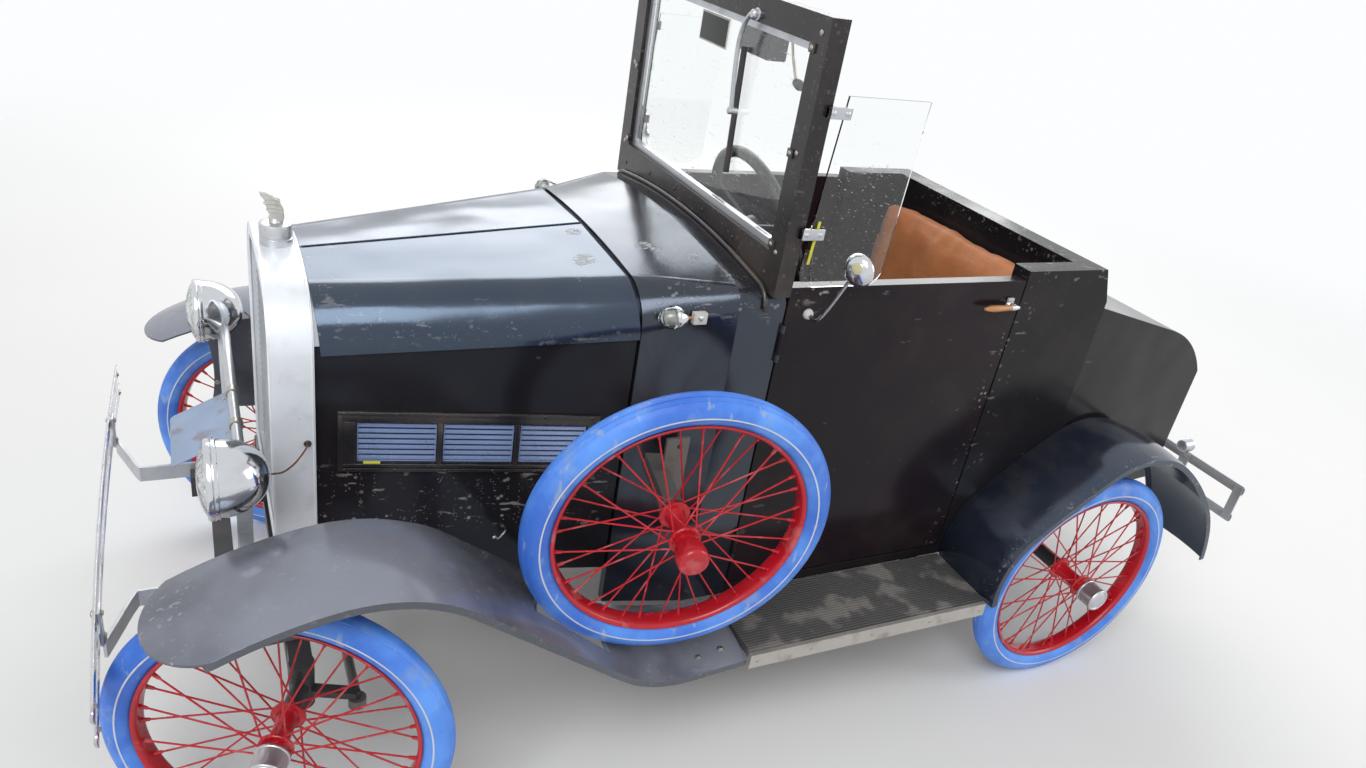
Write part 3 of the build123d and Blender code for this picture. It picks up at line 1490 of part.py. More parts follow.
side_lamp_x = 385.0
side_lamp_stand = 23.4
side_lamp_drop = 66.0
cowl_flare = (hood_rear_x - side_lamp_x) / (hood_rear_x - post_front_x)
cowl_side = hood_rear_half_width + (body_half_width - hood_rear_half_width) * cowl_flare
side_lamp_centre = Vector(side_lamp_x, cowl_side + side_lamp_stand, cowl_top - side_lamp_drop)
side_lamp_radius = 17.0
side_lamp_length = 42.0
with BuildPart() as side_lamps:
    with BuildSketch(Plane.YZ.offset(side_lamp_centre.X - side_lamp_length / 2)):
        with Locations((side_lamp_centre.Y, side_lamp_centre.Z)):
            Circle(side_lamp_radius)
    extrude(amount=side_lamp_length)
    fillet(side_lamps.faces().sort_by(Axis.X)[-1].edges(), side_lamp_radius - 4)
    with BuildSketch(side_plane(hood_rear_half_width)):
        with Locations((side_lamp_centre.X - 12, side_lamp_centre.Z)):
            Rectangle(18, 14)
    extrude(amount=hood_rear_half_width - side_lamp_centre.Y)
    add(cowl.part, mode=Mode.SUBTRACT)
    mirror(about=Plane.XZ)
save(side_lamps, "side_lamps")
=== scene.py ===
from math import atan2, cos, hypot, pi, radians, sin, sqrt

import bmesh
import bpy
from mathutils import Matrix, Vector, noise


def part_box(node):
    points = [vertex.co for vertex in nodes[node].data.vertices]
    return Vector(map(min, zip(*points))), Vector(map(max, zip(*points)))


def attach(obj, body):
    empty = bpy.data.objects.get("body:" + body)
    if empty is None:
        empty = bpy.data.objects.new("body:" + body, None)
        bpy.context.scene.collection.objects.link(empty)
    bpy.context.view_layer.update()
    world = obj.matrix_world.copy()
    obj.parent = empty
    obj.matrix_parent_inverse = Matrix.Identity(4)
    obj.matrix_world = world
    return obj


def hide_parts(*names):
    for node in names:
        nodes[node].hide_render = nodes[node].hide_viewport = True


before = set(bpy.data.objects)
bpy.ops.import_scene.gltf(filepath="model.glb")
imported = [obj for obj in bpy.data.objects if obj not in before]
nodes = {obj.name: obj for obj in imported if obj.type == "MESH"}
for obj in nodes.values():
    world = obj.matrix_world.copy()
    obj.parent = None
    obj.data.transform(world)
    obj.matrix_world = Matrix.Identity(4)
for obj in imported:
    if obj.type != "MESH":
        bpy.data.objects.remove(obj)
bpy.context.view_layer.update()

# Real sizes are in millimetres in the car's own frame, as in the part: +X forward, +Y left, +Z up
millimetre = 0.001
up = Vector((0, 0, 1))
sides = ((1, "left"), (-1, "right"))

# Places that more than one piece shares
body_side = 327
waist = 852  # the door handles' and mirrors' height
mat_foot = 262.2
mat_top = 263.5


def axes(origin, out, level=up):
    """A place whose own z runs along out, with its y as near to level as it can be."""
    z_axis = Vector(out).normalized()
    x_axis = Vector(level).cross(z_axis).normalized()
    place = Matrix((x_axis, z_axis.cross(x_axis), z_axis)).transposed().to_4x4()
    place.translation = Vector(origin)
    return place


def smooth_line(points, steps=6):
    """Points along a smooth curve that passes through each of the given ones."""
    points = [Vector(point) for point in points]
    padded = [points[0] * 2 - points[1]] + points + [points[-1] * 2 - points[-2]]
    line = []
    for before, start, end, after in zip(padded, padded[1:], padded[2:], padded[3:]):
        square = 2 * before - 5 * start + 4 * end - after
        cube = 3 * start - before - 3 * end + after
        for step in range(steps):
            t = step / steps
            line.append((2 * start + (end - before) * t + square * t * t + cube * t * t * t) / 2)
    return line + [points[-1]]


def mirrored(points, side):
    """The points on the left side, or their mirror images on the right."""
    return [(x, side * y, z) for x, y, z in points]


def direction(line, i):
    """Which way the line runs at its point i."""
    return (line[min(i + 1, len(line) - 1)] - line[max(i - 1, 0)]).normalized()


def circle(place, radius, along, segments):
    """Points round a circle at that distance along the place's z."""
    turns = [2 * pi * step / segments for step in range(segments)]
    return [place @ Vector((radius * cos(turn), radius * sin(turn), along)) for turn in turns]


def ridged(place, radius, other, along, segments, every):
    """A circle whose first point, and each so many-th after it, is at the other radius."""
    ring = circle(place, radius, along, segments)
    ring[::every] = circle(place, other, along, segments)[::every]
    return ring


def link(name, data):
    """The data as an object of the scene."""
    made = bpy.data.objects.new(name, data)
    bpy.context.scene.collection.objects.link(made)
    return made


class Piece:
    """One object's mesh, gathered from rows of points in millimetres."""

    def __init__(self):
        self.points = []
        self.faces = []
        self.marks = []

    def rows(self, rows, mark=0, around=False, closed=False, ends=False, bands=None):
        """Faces between rows of points; mark, or bands for each row, picks the material."""
        start = len(self.points)
        width = len(rows[0])
        count = len(rows)
        for row in rows:
            self.points.extend(Vector(point) for point in row)
        for i in range(count if closed else count - 1):
            for j in range(width if around else width - 1):
                after = (j + 1) % width
                here = start + i * width
                there = start + (i + 1) % count * width
                self.faces.append((here + j, here + after, there + after, there + j))
                self.marks.append(bands[i] if bands else mark)
        if ends:
            last = start + (count - 1) * width
            self.faces.append(tuple(start + j for j in range(width)))
            self.faces.append(tuple(last + j for j in reversed(range(width))))
            self.marks.extend((bands[0], bands[-1]) if bands else (mark, mark))

    def lathe(self, place, profile, segments=48, mark=0, **settings):
        """A turned form: profile gives radius and distance along the place's z."""
        rows = [circle(place, radius, along, segments) for radius, along in profile]
        self.rows(rows, mark, around=True, **settings)

    def tube(self, line, radius, sides=10, mark=0):
        """A round bar along a line; radius may be a list, one for each point."""
        line = [Vector(point) for point in line]
        radii = radius if isinstance(radius, (list, tuple)) else [radius] * len(line)
        normal = direction(line, 0).orthogonal()
        rows = []
        for i, point in enumerate(line):
            ahead = direction(line, i)
            normal = (normal - ahead * normal.dot(ahead)).normalized()
            side = ahead.cross(normal)
            turns = [2 * pi * step / sides for step in range(sides)]
            rows.append([point + (normal * cos(turn) + side * sin(turn)) * radii[i] for turn in turns])
        self.rows(rows, mark, around=True, ends=True)

    def block(self, place, size, bevel=1.0, mark=0, steps=2):
        """A box with rounded edges, centred on the place."""
        shape = bmesh.new()
        bmesh.ops.create_cube(shape, size=1.0)
        bmesh.ops.scale(shape, vec=size, verts=shape.verts)
        edges = shape.edges[:]
        bmesh.ops.bevel(shape, geom=edges, offset=bevel, segments=steps, profile=0.7, affect="EDGES")
        start = len(self.points)
        shape.verts.index_update()
        self.points.extend(place @ vert.co for vert in shape.verts)
        for face in shape.faces:
            self.faces.append(tuple(start + vert.index for vert in face.verts))
            self.marks.append(mark)
        shape.free()

    def bolt(self, origin, out, radius=4.0, mark=0, nut=True):
        """A hexagon head on a washer, or a plain round head."""
        place = axes(origin, out, (0.31, 0.17, 0.93))
        washer = ((radius * 1.5, -0.4), (radius * 1.5, 0.7), (radius * 1.35, 1.0))
        self.lathe(place, washer, 14, mark, ends=True)
        if nut:
            head = ((radius, 0.8), (radius, 0.6 + radius * 0.55), (radius * 0.8, 0.6 + radius * 0.7))
        else:
            head = ((radius, 0.8), (radius * 0.85, radius * 0.45), (radius * 0.5, radius * 0.65))
        self.lathe(place, head, 6 if nut else 10, mark, ends=True)

    def mesh(self, name, materials=()):
        """The gathered mesh in metres, joined up and with its faces turned outward."""
        mesh = bpy.data.meshes.new(name)
        mesh.from_pydata([tuple(point * millimetre) for point in self.points], [], self.faces)
        for material in materials:
            mesh.materials.append(material)
        for polygon, mark in zip(mesh.polygons, self.marks):
            polygon.material_index = mark
        shape = bmesh.new()
        shape.from_mesh(mesh)
        bmesh.ops.remove_doubles(shape, verts=shape.verts, dist=2e-6)
        bmesh.ops.recalc_face_normals(shape, faces=shape.faces)
        shape.to_mesh(mesh)
        shape.free()
        return mesh

    def finish(self, name, body, slot, materials, replaces=(), sharp=38.0):
        """The object itself, riding on its body."""
        mesh = self.mesh(name, materials)
        mesh.shade_smooth()
        mesh.set_sharp_from_angle(angle=radians(sharp))
        piece = link(name, mesh)
        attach(piece, body)
        if replaces:
            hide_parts(*replaces)


class Finish:
    """A procedural material while its nodes are joined up. Colours are red, green and blue."""

    def __init__(self, name):
        self.material = bpy.data.materials.new(name)
        self.material.use_nodes = True
        self.tree = self.material.node_tree
        self.shader = self.tree.nodes["Principled BSDF"]
        self.coordinates = self.node("ShaderNodeTexCoord")
        self.place = self.coordinates.outputs["Object"]

    def node(self, kind, *sources, **settings):
        made = self.tree.nodes.new(kind)
        for key, value in settings.items():
            setattr(made, key, value)
        for socket, source in zip(made.inputs, sources):
            self.feed(socket, source)
        return made

    def feed(self, socket, source):
        if isinstance(source, bpy.types.NodeSocket):
            self.tree.links.new(source, socket)
        elif source is not None:
            socket.default_value = (*source, 1.0) if socket.type == "RGBA" else source

    def noise(self, scale, detail=3.0, stretch=(1, 1, 1)):
        """Cloudy noise whose features are about 1/scale of a metre across."""
        spread = self.node("ShaderNodeMapping", self.place)
        spread.inputs["Scale"].default_value = stretch
        made = self.node("ShaderNodeTexNoise", spread.outputs[0])
        made.inputs["Scale"].default_value = scale
        made.inputs["Detail"].default_value = detail
        return made.outputs[0]

    def between(self, source, low, high):
        """0 at low and 1 at high, with a soft turn."""
        return self.node("ShaderNodeMapRange", source, low, high, interpolation_type="SMOOTHSTEP").outputs[0]

    def maths(self, operation, *sources):
        return self.node("ShaderNodeMath", *sources, operation=operation).outputs[0]

    def times(self, share, *others):
        for other in others:
            share = self.maths("MULTIPLY", share, other)
        return share

    def most(self, share, *others):
        for other in others:
            share = self.maths("MAXIMUM", share, other)
        return share

    def mix(self, share, first, second):
        made = self.node("ShaderNodeMix", data_type="RGBA")
        self.feed(made.inputs[0], share)
        self.feed(made.inputs[6], first)
        self.feed(made.inputs[7], second)
        return made.outputs[2]

    def patches(self, scale, detail, low, high, share=1.0, stretch=(1, 1, 1)):
        """Cloudy patches, as strong as the share where the noise is over high."""
        return self.times(self.between(self.noise(scale, detail, stretch), low, high), share)

    def cells(self, scale, feature="F1"):
        made = self.node("ShaderNodeTexVoronoi", self.place, feature=feature)
        made.inputs["Scale"].default_value = scale
        return made.outputs

    def specks(self, scale, size, share):
        """Small chips, 1 inside each, in that share of the cells."""
        cells = self.cells(scale)
        inside = self.between(cells["Distance"], size, size * 0.6)
        return self.times(inside, self.between(cells["Color"], 1.0 - share, 1.02 - share))

    def axis(self, name, source=None):
        return self.node("ShaderNodeSeparateXYZ", source or self.place).outputs[name]

    def upward(self, low=0.2, high=0.9):
        """1 where the surface faces up."""
        return self.between(self.axis("Z", self.coordinates.outputs["Normal"]), low, high)

    def box(self, low, high, soft):
        """1 inside a box in metres, fading over the soft width."""
        walls = []
        for name, start, end in zip("XYZ", low, high):
            place = self.axis(name)
            walls += [self.between(place, start - soft, start), self.between(place, end + soft, end)]
        return self.times(*walls)

    def near(self, spots):
        """1 within each spot, given as x, y, z and radius in metres, with ragged edges."""
        rough = self.maths("MULTIPLY_ADD", self.noise(160, 4), 0.5, 0.5)
        edges = []
        for x, y, z, radius in spots:
            reach = self.node("ShaderNodeVectorMath", self.place, (x, y, z), operation="DISTANCE").outputs[1]
            edges.append(self.between(self.times(reach, rough), radius, radius * 0.75))
        return self.most(*edges)

    def bump(self, height, depth, after=None):
        made = self.node("ShaderNodeBump")
        self.feed(made.inputs["Height"], height)
        made.inputs["Distance"].default_value = depth
        self.feed(made.inputs["Normal"], after)
        return made.outputs[0]

    def rounded(self, radius=0.0012):
        """Normals that turn softly over the edges."""
        return self.node("ShaderNodeBevel", radius, samples=4).outputs[0]

    def done(self, colour, roughness, normal=None, **fixed):
        self.feed(self.shader.inputs["Base Color"], colour)
        self.feed(self.shader.inputs["Roughness"], roughness)
        self.feed(self.shader.inputs["Normal"], normal)
        for name, value in fixed.items():
            self.feed(self.shader.inputs[name.replace("_", " ")], value)
        return self.material


def shade(colour, share):
    return tuple(part * share for part in colour)


def black_paint(
    name, dust=0.25, chips=0.04, gloss=0.16, wave=0.0015, specular=0.6, crown=0.0, worn=(), scrapes=(),
    deep=(0.007, 0.007, 0.009), tint=(0.019, 0.016, 0.018), dust_and_sheen_tint=(0.17, 0.135, 0.11), painted_sky_tint=(1, 1, 1),
):
    """Home-sprayed gloss black with dust, chips, fine scratches and slightly uneven sheet under it; pale
    bluish colours and crown paint a sky sheen into it.
    """
    finish = Finish(name)
    # Dust film, and dust settled on the upward faces. Where its colour is pale blue-grey, as on the front
    # fenders, the film is also painted sky sheen.
    settled = finish.times(finish.upward(), finish.patches(16, 6, 0.3, 0.7, dust))
    film = finish.most(finish.patches(7, 6, 0.42, 0.78, dust), settled)
    tone = finish.mix(film, finish.mix(finish.noise(2.2), deep, tint), dust_and_sheen_tint)
    # crown paints the upward faces lighter, towards the dust colour: a painted sky reflection on the top.
    if crown:
        painted_top_sheen = finish.times(finish.upward(0.45, 1.0), finish.patches(4, 4, 0.2, 0.6, crown))
        tone = finish.mix(painted_top_sheen, tone, dust_and_sheen_tint)
    hair = finish.patches(55, 2, 0.735, 0.76, 0.1, (0.35, 2.2, 1.0))
    marks = finish.most(finish.specks(110, 0.13, chips), finish.specks(240, 0.16, chips * 0.5), hair)
    for low, high, share in worn:
        streak = finish.patches(70, 4, 0.62, 0.66, 1.0, (0.35, 1, 1.6))
        patch = finish.most(finish.specks(85, 0.34, 0.3), finish.specks(230, 0.3, 0.4), streak)
        here = finish.times(finish.box(low, high, 0.03), finish.patches(26, 3, 0.4, 0.6, share))
        marks = finish.most(marks, finish.times(patch, here))
    if scrapes:
        torn = finish.patches(150, 5, 0.46, 0.52, 0.95, (0.5, 1.6, 1))
        marks = finish.most(marks, finish.times(finish.near(scrapes), torn))
    tone = finish.mix(marks, tone, (0.38, 0.36, 0.34))
    rough = finish.maths("MULTIPLY_ADD", finish.noise(5, 5), 0.16, gloss - 0.08)
    rough = finish.most(rough, finish.times(film, 1.3), finish.times(marks, 0.6))
    normal = finish.bump(finish.noise(3.2, 2), wave * 6, finish.rounded())
    normal = finish.bump(finish.noise(420, 2), 0.00006, normal)
    normal = finish.bump(marks, -0.0003, normal)
    # The specular tint colours the reflections; a bluish one paints in the reflection of a blue sky.
    return finish.done(tone, rough, normal, Specular_IOR_Level=specular, Specular_Tint=painted_sky_tint)


def metal(
    name, colour, roughness=0.25, stain=0.2, stain_colour=(0.16, 0.10, 0.06), brushed=(1, 1, 1), shine=1.0
):
    """Bare or plated metal with stains, pits and fine brushing."""
    finish = Finish(name)
    dirt = finish.most(finish.patches(24, 6, 0.52, 0.74, stain), finish.specks(160, 0.22, stain * 0.5))
    tone = finish.mix(dirt, finish.mix(finish.noise(11, 4), colour, shade(colour, 0.72)), stain_colour)
    rough = finish.maths("MULTIPLY_ADD", finish.noise(18, 4), roughness * 0.9, roughness * 0.5)
    rough = finish.most(rough, finish.times(dirt, 0.8))
    normal = finish.bump(finish.noise(9, 2), 0.0018, finish.rounded(0.0008))
    normal = finish.bump(finish.noise(300, 3, brushed), 0.00008, normal)
    return finish.done(tone, rough, normal, Metallic=finish.maths("MULTIPLY_ADD", dirt, -0.75 * shine, shine))


def enamel(name, colour, worn_colour, roughness=0.25, worn=0.25, scale=22):
    """Bright enamel paint with scuffed patches."""
    finish = Finish(name)
    scuff = finish.most(finish.patches(scale, 6, 0.55, 0.7, worn), finish.specks(260, 0.2, worn * 0.2))
    tone = finish.mix(scuff, finish.mix(finish.noise(14, 4), colour, shade(colour, 0.62)), worn_colour)
    normal = finish.bump(finish.noise(240, 3), 0.0001, finish.rounded(0.0006))
    return finish.done(tone, finish.maths("MULTIPLY_ADD", scuff, 0.45, roughness), normal)


def blue_rubber():
    """Faded blue tyre rubber, dusty on the wall and scuffed on the tread."""
    finish = Finish("tyre_rubber_blue")
    tone = finish.mix(finish.patches(8, 5, 0.35, 0.7), (0.042, 0.155, 0.62), (0.120, 0.335, 0.90))
    tone = finish.mix(finish.patches(19, 6, 0.56, 0.74, 0.5), tone, (0.26, 0.36, 0.56))
    smear = finish.patches(60, 5, 0.62, 0.7, 0.5, (1, 1, 0.3))
    tone = finish.mix(smear, tone, (0.40, 0.44, 0.50))
    rough = finish.maths("MULTIPLY_ADD", finish.noise(40, 4), 0.25, 0.36)
    normal = finish.bump(finish.noise(30, 3), 0.0006, finish.bump(finish.noise(520, 3), 0.00022))
    return finish.done(tone, rough, normal, Specular_IOR_Level=0.45)


def hide():
    """Tan seat leathercloth with grain, creases and sun-faded patches."""
    finish = Finish("seat_hide_tan")
    grain = finish.between(finish.cells(420, "DISTANCE_TO_EDGE")["Distance"], 0.0, 0.18)
    tone = finish.mix(finish.patches(5, 4, 0.3, 0.7), (0.50, 0.155, 0.04), (0.64, 0.235, 0.075))
    tone = finish.mix(finish.patches(13, 5, 0.55, 0.75, 0.35), tone, (0.70, 0.36, 0.16))
    # Darker colour in the grain's furrows: painted shade in the recesses.
    furrow = finish.times(finish.maths("SUBTRACT", 1.0, grain), 0.3)
    tone = finish.mix(furrow, tone, (0.22, 0.065, 0.02))
    rough = finish.maths("MULTIPLY_ADD", finish.noise(30, 4), 0.25, 0.38)
    normal = finish.bump(grain, 0.0003, finish.bump(finish.noise(24, 4, (1, 0.35, 1)), 0.004))
    return finish.done(tone, rough, normal, Sheen_Weight=0.12, Specular_IOR_Level=0.45)


def clear(name, colour=(0.97, 0.985, 0.98), haze=0.12, index=1.5, scratched=0.3):
    """Clear pane with wiped dust and hairline scratches."""
    finish = Finish(name)
    film = finish.patches(12, 6, 0.5, 0.8, haze, (1, 1, 0.5))
    hair = finish.patches(130, 1, 0.71, 0.73, scratched, (1, 0.2, 2.5))
    tone = finish.mix(finish.times(film, 0.6), colour, (0.80, 0.80, 0.77))
    normal = finish.bump(finish.noise(6, 2), 0.0006)
    return finish.done(tone, finish.most(film, hair), normal, Transmission_Weight=1.0, IOR=index)


def rubber_mat():
    """Dark ribbed mat with trodden grey dust."""
    finish = Finish("mat_rubber_dark")
    rib_top = finish.between(finish.axis("Z"), (mat_foot + 0.4) * millimetre, (mat_top - 0.1) * millimetre)
    trodden = finish.times(finish.patches(15, 8, 0.5, 0.62), finish.maths("MULTIPLY_ADD", rib_top, 0.45, 0.5))
    tone = finish.mix(finish.noise(20, 4), (0.030, 0.029, 0.030), (0.065, 0.062, 0.062))
    # Rib tops are painted lighter than the grooves: painted light on the raised tops.
    tone = finish.mix(finish.times(rib_top, 0.55), tone, (0.115, 0.108, 0.105))
    tone = finish.mix(trodden, tone, (0.20, 0.185, 0.17))
    tone = finish.mix(finish.specks(240, 0.24, 0.12), tone, (0.30, 0.28, 0.25))
    rough = finish.maths("MULTIPLY_ADD", trodden, 0.35, 0.5)
    return finish.done(tone, rough, finish.bump(finish.noise(300, 4), 0.0003))


def timber():
    """Plain ply boards with grain."""
    finish = Finish("floor_ply")
    grain = finish.noise(18, 6, (0.15, 2.5, 2.5))
    light = (0.23, 0.13, 0.065)
    tone = finish.mix(finish.between(grain, 0.3, 0.7), shade(light, 0.45), light)
    tone = finish.mix(finish.patches(6, 5, 0.5, 0.8, 0.5), tone, (0.10, 0.085, 0.07))
    return finish.done(tone, 0.68, finish.bump(grain, 0.0008))


# Paints: worn boxes are low and high corners in metres and a share, scrapes are x, y, z and radius
body_black = black_paint("black_paint_body", 0.16, 0.004, wave=0.0012, specular=0.3)
hood_worn = (
    ((0.86, 0.0, 0.835), (0.90, 0.19, 0.86), 0.3),
    ((0.42, -0.3, 0.79), (0.90, 0.3, 0.803), 0.3),
)
hood_scrapes = (
    (0.473, 0.146, 0.882, 0.016), (0.504, 0.210, 0.862, 0.010), (0.454, 0.036, 0.890, 0.012),
    (0.486, 0.160, 0.878, 0.007),
)
# Hood: the bluish tint and the blue specular tint are a painted reflection of a blue sky on the black.
hood_black = black_paint(
    "black_paint_hood", 0.05, 0.006, 0.17, 0.0022, 1.0, worn=hood_worn, scrapes=hood_scrapes,
    tint=(0.025, 0.031, 0.050), painted_sky_tint=(0.56, 0.74, 1.0),
)
cowl_worn = (((0.2, 0.28, 0.86), (0.41, 0.34, 0.91), 0.4),)
cowl_scrapes = ((0.363, 0.130, 0.908, 0.014), (0.348, 0.150, 0.905, 0.008), (0.300, 0.200, 0.903, 0.006))
# Cowl: the slightly bluish tint and the blue specular tint are a painted reflection of a blue sky.
cowl_black = black_paint(
    "black_paint_cowl", 0.06, 0.006, 0.17, 0.0022, 0.85, worn=cowl_worn, scrapes=cowl_scrapes,
    tint=(0.016, 0.017, 0.024), painted_sky_tint=(0.68, 0.80, 1.0),
)
side_worn = (((0.44, 0.15, 0.45), (0.90, 0.30, 0.545), 0.5),)
# Hood sides: the blue specular tint is a painted sky reflection.
side_black = black_paint(
    "black_paint_hood_side", 0.06, 0.010, specular=0.22, worn=side_worn, painted_sky_tint=(0.6, 0.76, 1.0)
)
door_worn = (
    ((-0.345, 0.30, 0.30), (-0.330, 0.34, 0.78), 0.5),
    ((0.0, 0.30, 0.890), (0.16, 0.34, 0.905), 0.8),
    ((-0.345, -0.34, 0.30), (-0.330, -0.30, 0.78), 0.5),
)
# Doors: the faint purple tint is a painted reflection on the black.
door_black = black_paint(
    "black_paint_door", 0.08, 0.003, specular=0.16, worn=door_worn, tint=(0.020, 0.010, 0.015)
)
quarter_worn = (
    ((-0.365, 0.30, 0.50), (-0.344, 0.34, 0.84), 0.45),
    ((-0.365, -0.34, 0.50), (-0.344, -0.30, 0.84), 0.45),
    ((-0.60, -0.34, 0.905), (-0.344, 0.34, 0.925), 0.4),
)
rear_black = black_paint("black_paint_rear", 0.07, 0.003, specular=0.16, worn=quarter_worn)
fender_worn = (
    ((0.30, -0.56, 0.24), (1.08, 0.56, 0.60), 0.16),
    ((1.10, -0.56, 0.24), (1.2, 0.56, 0.60), 0.5),
)
# Front fenders: the pale blue-grey base and dust colours, the crown of 0.70 and the blue specular tint are
# painted sky sheen over the black, mixed with real dust.
fender_black = black_paint(
    "black_paint_fender", 0.12, 0.032, 0.19, 0.0007, 1.0, 0.70, fender_worn, deep=(0.050, 0.048, 0.056),
    tint=(0.085, 0.084, 0.100), dust_and_sheen_tint=(0.27, 0.28, 0.33), painted_sky_tint=(0.74, 0.85, 1.0),
)
rear_fender_worn = (
    ((-1.03, 0.494, 0.24), (-0.34, 0.52, 0.60), 0.3),
    ((-1.03, -0.52, 0.24), (-0.34, -0.494, 0.60), 0.3),
)
# Rear fenders: the bluish tint and the blue specular tint are a painted sky reflection on the black.
rear_fender_black = black_paint(
    "black_paint_rear_fender", 0.12, 0.003, 0.13, 0.0012, 1.0, worn=rear_fender_worn,
    tint=(0.014, 0.022, 0.046), painted_sky_tint=(0.62, 0.77, 1.0),
)
trim_black = black_paint("black_paint_trim", 0.35, 0.05, 0.25, 0.0003)
frame_worn = (((0.18, -0.35, 0.88), (0.23, 0.35, 1.33), 0.12),)
frame_black = black_paint(
    "black_paint_frame", 0.25, 0.01, 0.24, 0.0004, 0.4, worn=frame_worn, tint=(0.026, 0.020, 0.018)
)
sheet_metal = metal("bare_sheet_shell", (0.91, 0.95, 1.0), 0.36, 0.14, brushed=(1, 1, 0.08), shine=0.25)
chrome = metal("chrome_plate", (0.74, 0.75, 0.78), 0.10, 0.10)
bumper_chrome = metal("chrome_bumper", (0.70, 0.71, 0.74), 0.14, 0.3, (0.20, 0.085, 0.04))
silver = metal("silver_paint", (0.60, 0.62, 0.65), 0.36, 0.2, shine=0.75)
alloy = metal("cast_alloy", (0.66, 0.67, 0.69), 0.34, 0.18, (0.20, 0.18, 0.15), shine=0.85)
edge_strip = metal("alloy_edge_strip", (0.60, 0.57, 0.53), 0.42, 0.55, (0.15, 0.095, 0.06), (0.1, 1, 1), 0.7)
bolt_metal = metal("bolt_zinc", (0.50, 0.47, 0.42), 0.38, 0.5, (0.16, 0.08, 0.04))
vent_blue = metal("vent_silver_blue", (0.30, 0.41, 0.70), 0.32, 0.06, shine=0.3)
dark_metal = metal("dark_chassis_metal", (0.075, 0.075, 0.08), 0.5, 0.45, (0.10, 0.045, 0.02), shine=0.55)
grey_iron = metal("grey_iron", (0.21, 0.20, 0.19), 0.5, 0.4, (0.12, 0.06, 0.03), shine=0.6)
red_paint = enamel("red_enamel", (0.58, 0.010, 0.022), (0.62, 0.30, 0.30), 0.24, 0.28)
white_stripe = enamel("white_tyre_stripe", (0.74, 0.76, 0.80), (0.40, 0.47, 0.60), 0.5, 0.5, 60)
white_metal = enamel("white_mascot", (0.66, 0.64, 0.60), (0.34, 0.30, 0.25), 0.4, 0.5, 50)
tan_plastic = enamel("tan_handle", (0.62, 0.27, 0.10), (0.40, 0.16, 0.05), 0.32, 0.3, 40)
pale_plastic = enamel("pale_disc", (0.70, 0.66, 0.40), (0.45, 0.40, 0.24), 0.35, 0.4, 50)
yellow_tape = enamel("yellow_tape", (0.72, 0.68, 0.05), (0.4, 0.36, 0.05), 0.45, 0.4, 60)
black_plastic = enamel("black_plastic", (0.02, 0.02, 0.021), (0.10, 0.095, 0.09), 0.42, 0.4, 30)
wire_brown = enamel("wire_sleeve_brown", (0.16, 0.06, 0.035), (0.25, 0.16, 0.10), 0.5, 0.4, 60)
red_lens = enamel("red_lens", (0.35, 0.006, 0.008), (0.2, 0.02, 0.02), 0.12, 0.1)
plate_paint = enamel("blank_plate", (0.36, 0.46, 0.64), (0.24, 0.14, 0.085), 0.42, 0.5, 26)
tyre_blue = blue_rubber()
seat_hide = hide()
screen_glass = clear("windscreen_glass_clear", haze=0.10)
lamp_glass = clear("lamp_glass_clear", (0.95, 0.98, 0.97), 0.06, 1.5, 0.1)
acrylic = clear("wind_wing_acrylic", haze=0.16, index=1.45, scratched=0.5)
mat = rubber_mat()
ply = timber()

node_finishes = {
    "board_edges": edge_strip, "chassis": dark_metal, "cowl": cowl_black, "dashboard": body_black,
    "door_left": door_black, "door_right": door_black, "engine": grey_iron, "floor_boards": ply,
    "front_axle": dark_metal, "front_fenders": fender_black, "hood_left": hood_black,
    "hood_right": hood_black, "hood_sides": side_black, "hood_vents": vent_blue,
    "knuckle_left": dark_metal, "knuckle_right": dark_metal, "lamp_bar": silver,
    "radiator_core": black_plastic, "radiator_shell": sheet_metal, "rear_axle": dark_metal,
    "rear_body": rear_black, "rear_fenders": rear_fender_black, "running_boards": mat,
    "spare_bracket": grey_iron, "steering_column": black_plastic, "steering_wheel": black_plastic,
    "tail": rear_black, "tie_rod": grey_iron, "wind_wings": acrylic, "windscreen_frame": frame_black,
    "windscreen_glass": screen_glass, "windscreen_rim": silver,
}
for name, material in node_finishes.items():
    mesh = nodes[name].data
    mesh.materials.clear()
    mesh.materials.append(material)

# Wheels: where each one's middle is and which way its axle points out
wheel_level = 254
front_axle_x = 945
rear_axle_x = -614
steer = radians(22)
steered_out = Vector((sin(steer), cos(steer), 0))
kingpin = Vector((front_axle_x, 340, wheel_level))
far_kingpin = Vector((front_axle_x, -340, wheel_level))
stub_length = 100
spare_turn = radians(8.4)
spare_lean = radians(4.4)
spare_out = Vector((sin(spare_turn) * cos(spare_lean), cos(spare_turn) * cos(spare_lean), -sin(spare_lean)))
wheel_places = (  # name, body, middle, outward
    ("front_left", "wheel_front_left", kingpin + steered_out * stub_length, steered_out),
    ("front_right", "wheel_front_right", far_kingpin - steered_out * stub_length, -steered_out),
    ("rear_left", "wheel_rear_left", Vector((rear_axle_x, 466, wheel_level)), Vector((0, 1, 0))),
    ("rear_right", "wheel_rear_right", Vector((rear_axle_x, -466, wheel_level)), Vector((0, -1, 0))),
    ("spare", "body", Vector((395, 474, 560)), spare_out),
)
crown_radius = 22.06
crown_centre = 231.94
tyre_segments = 144
notch_depth = 1.1
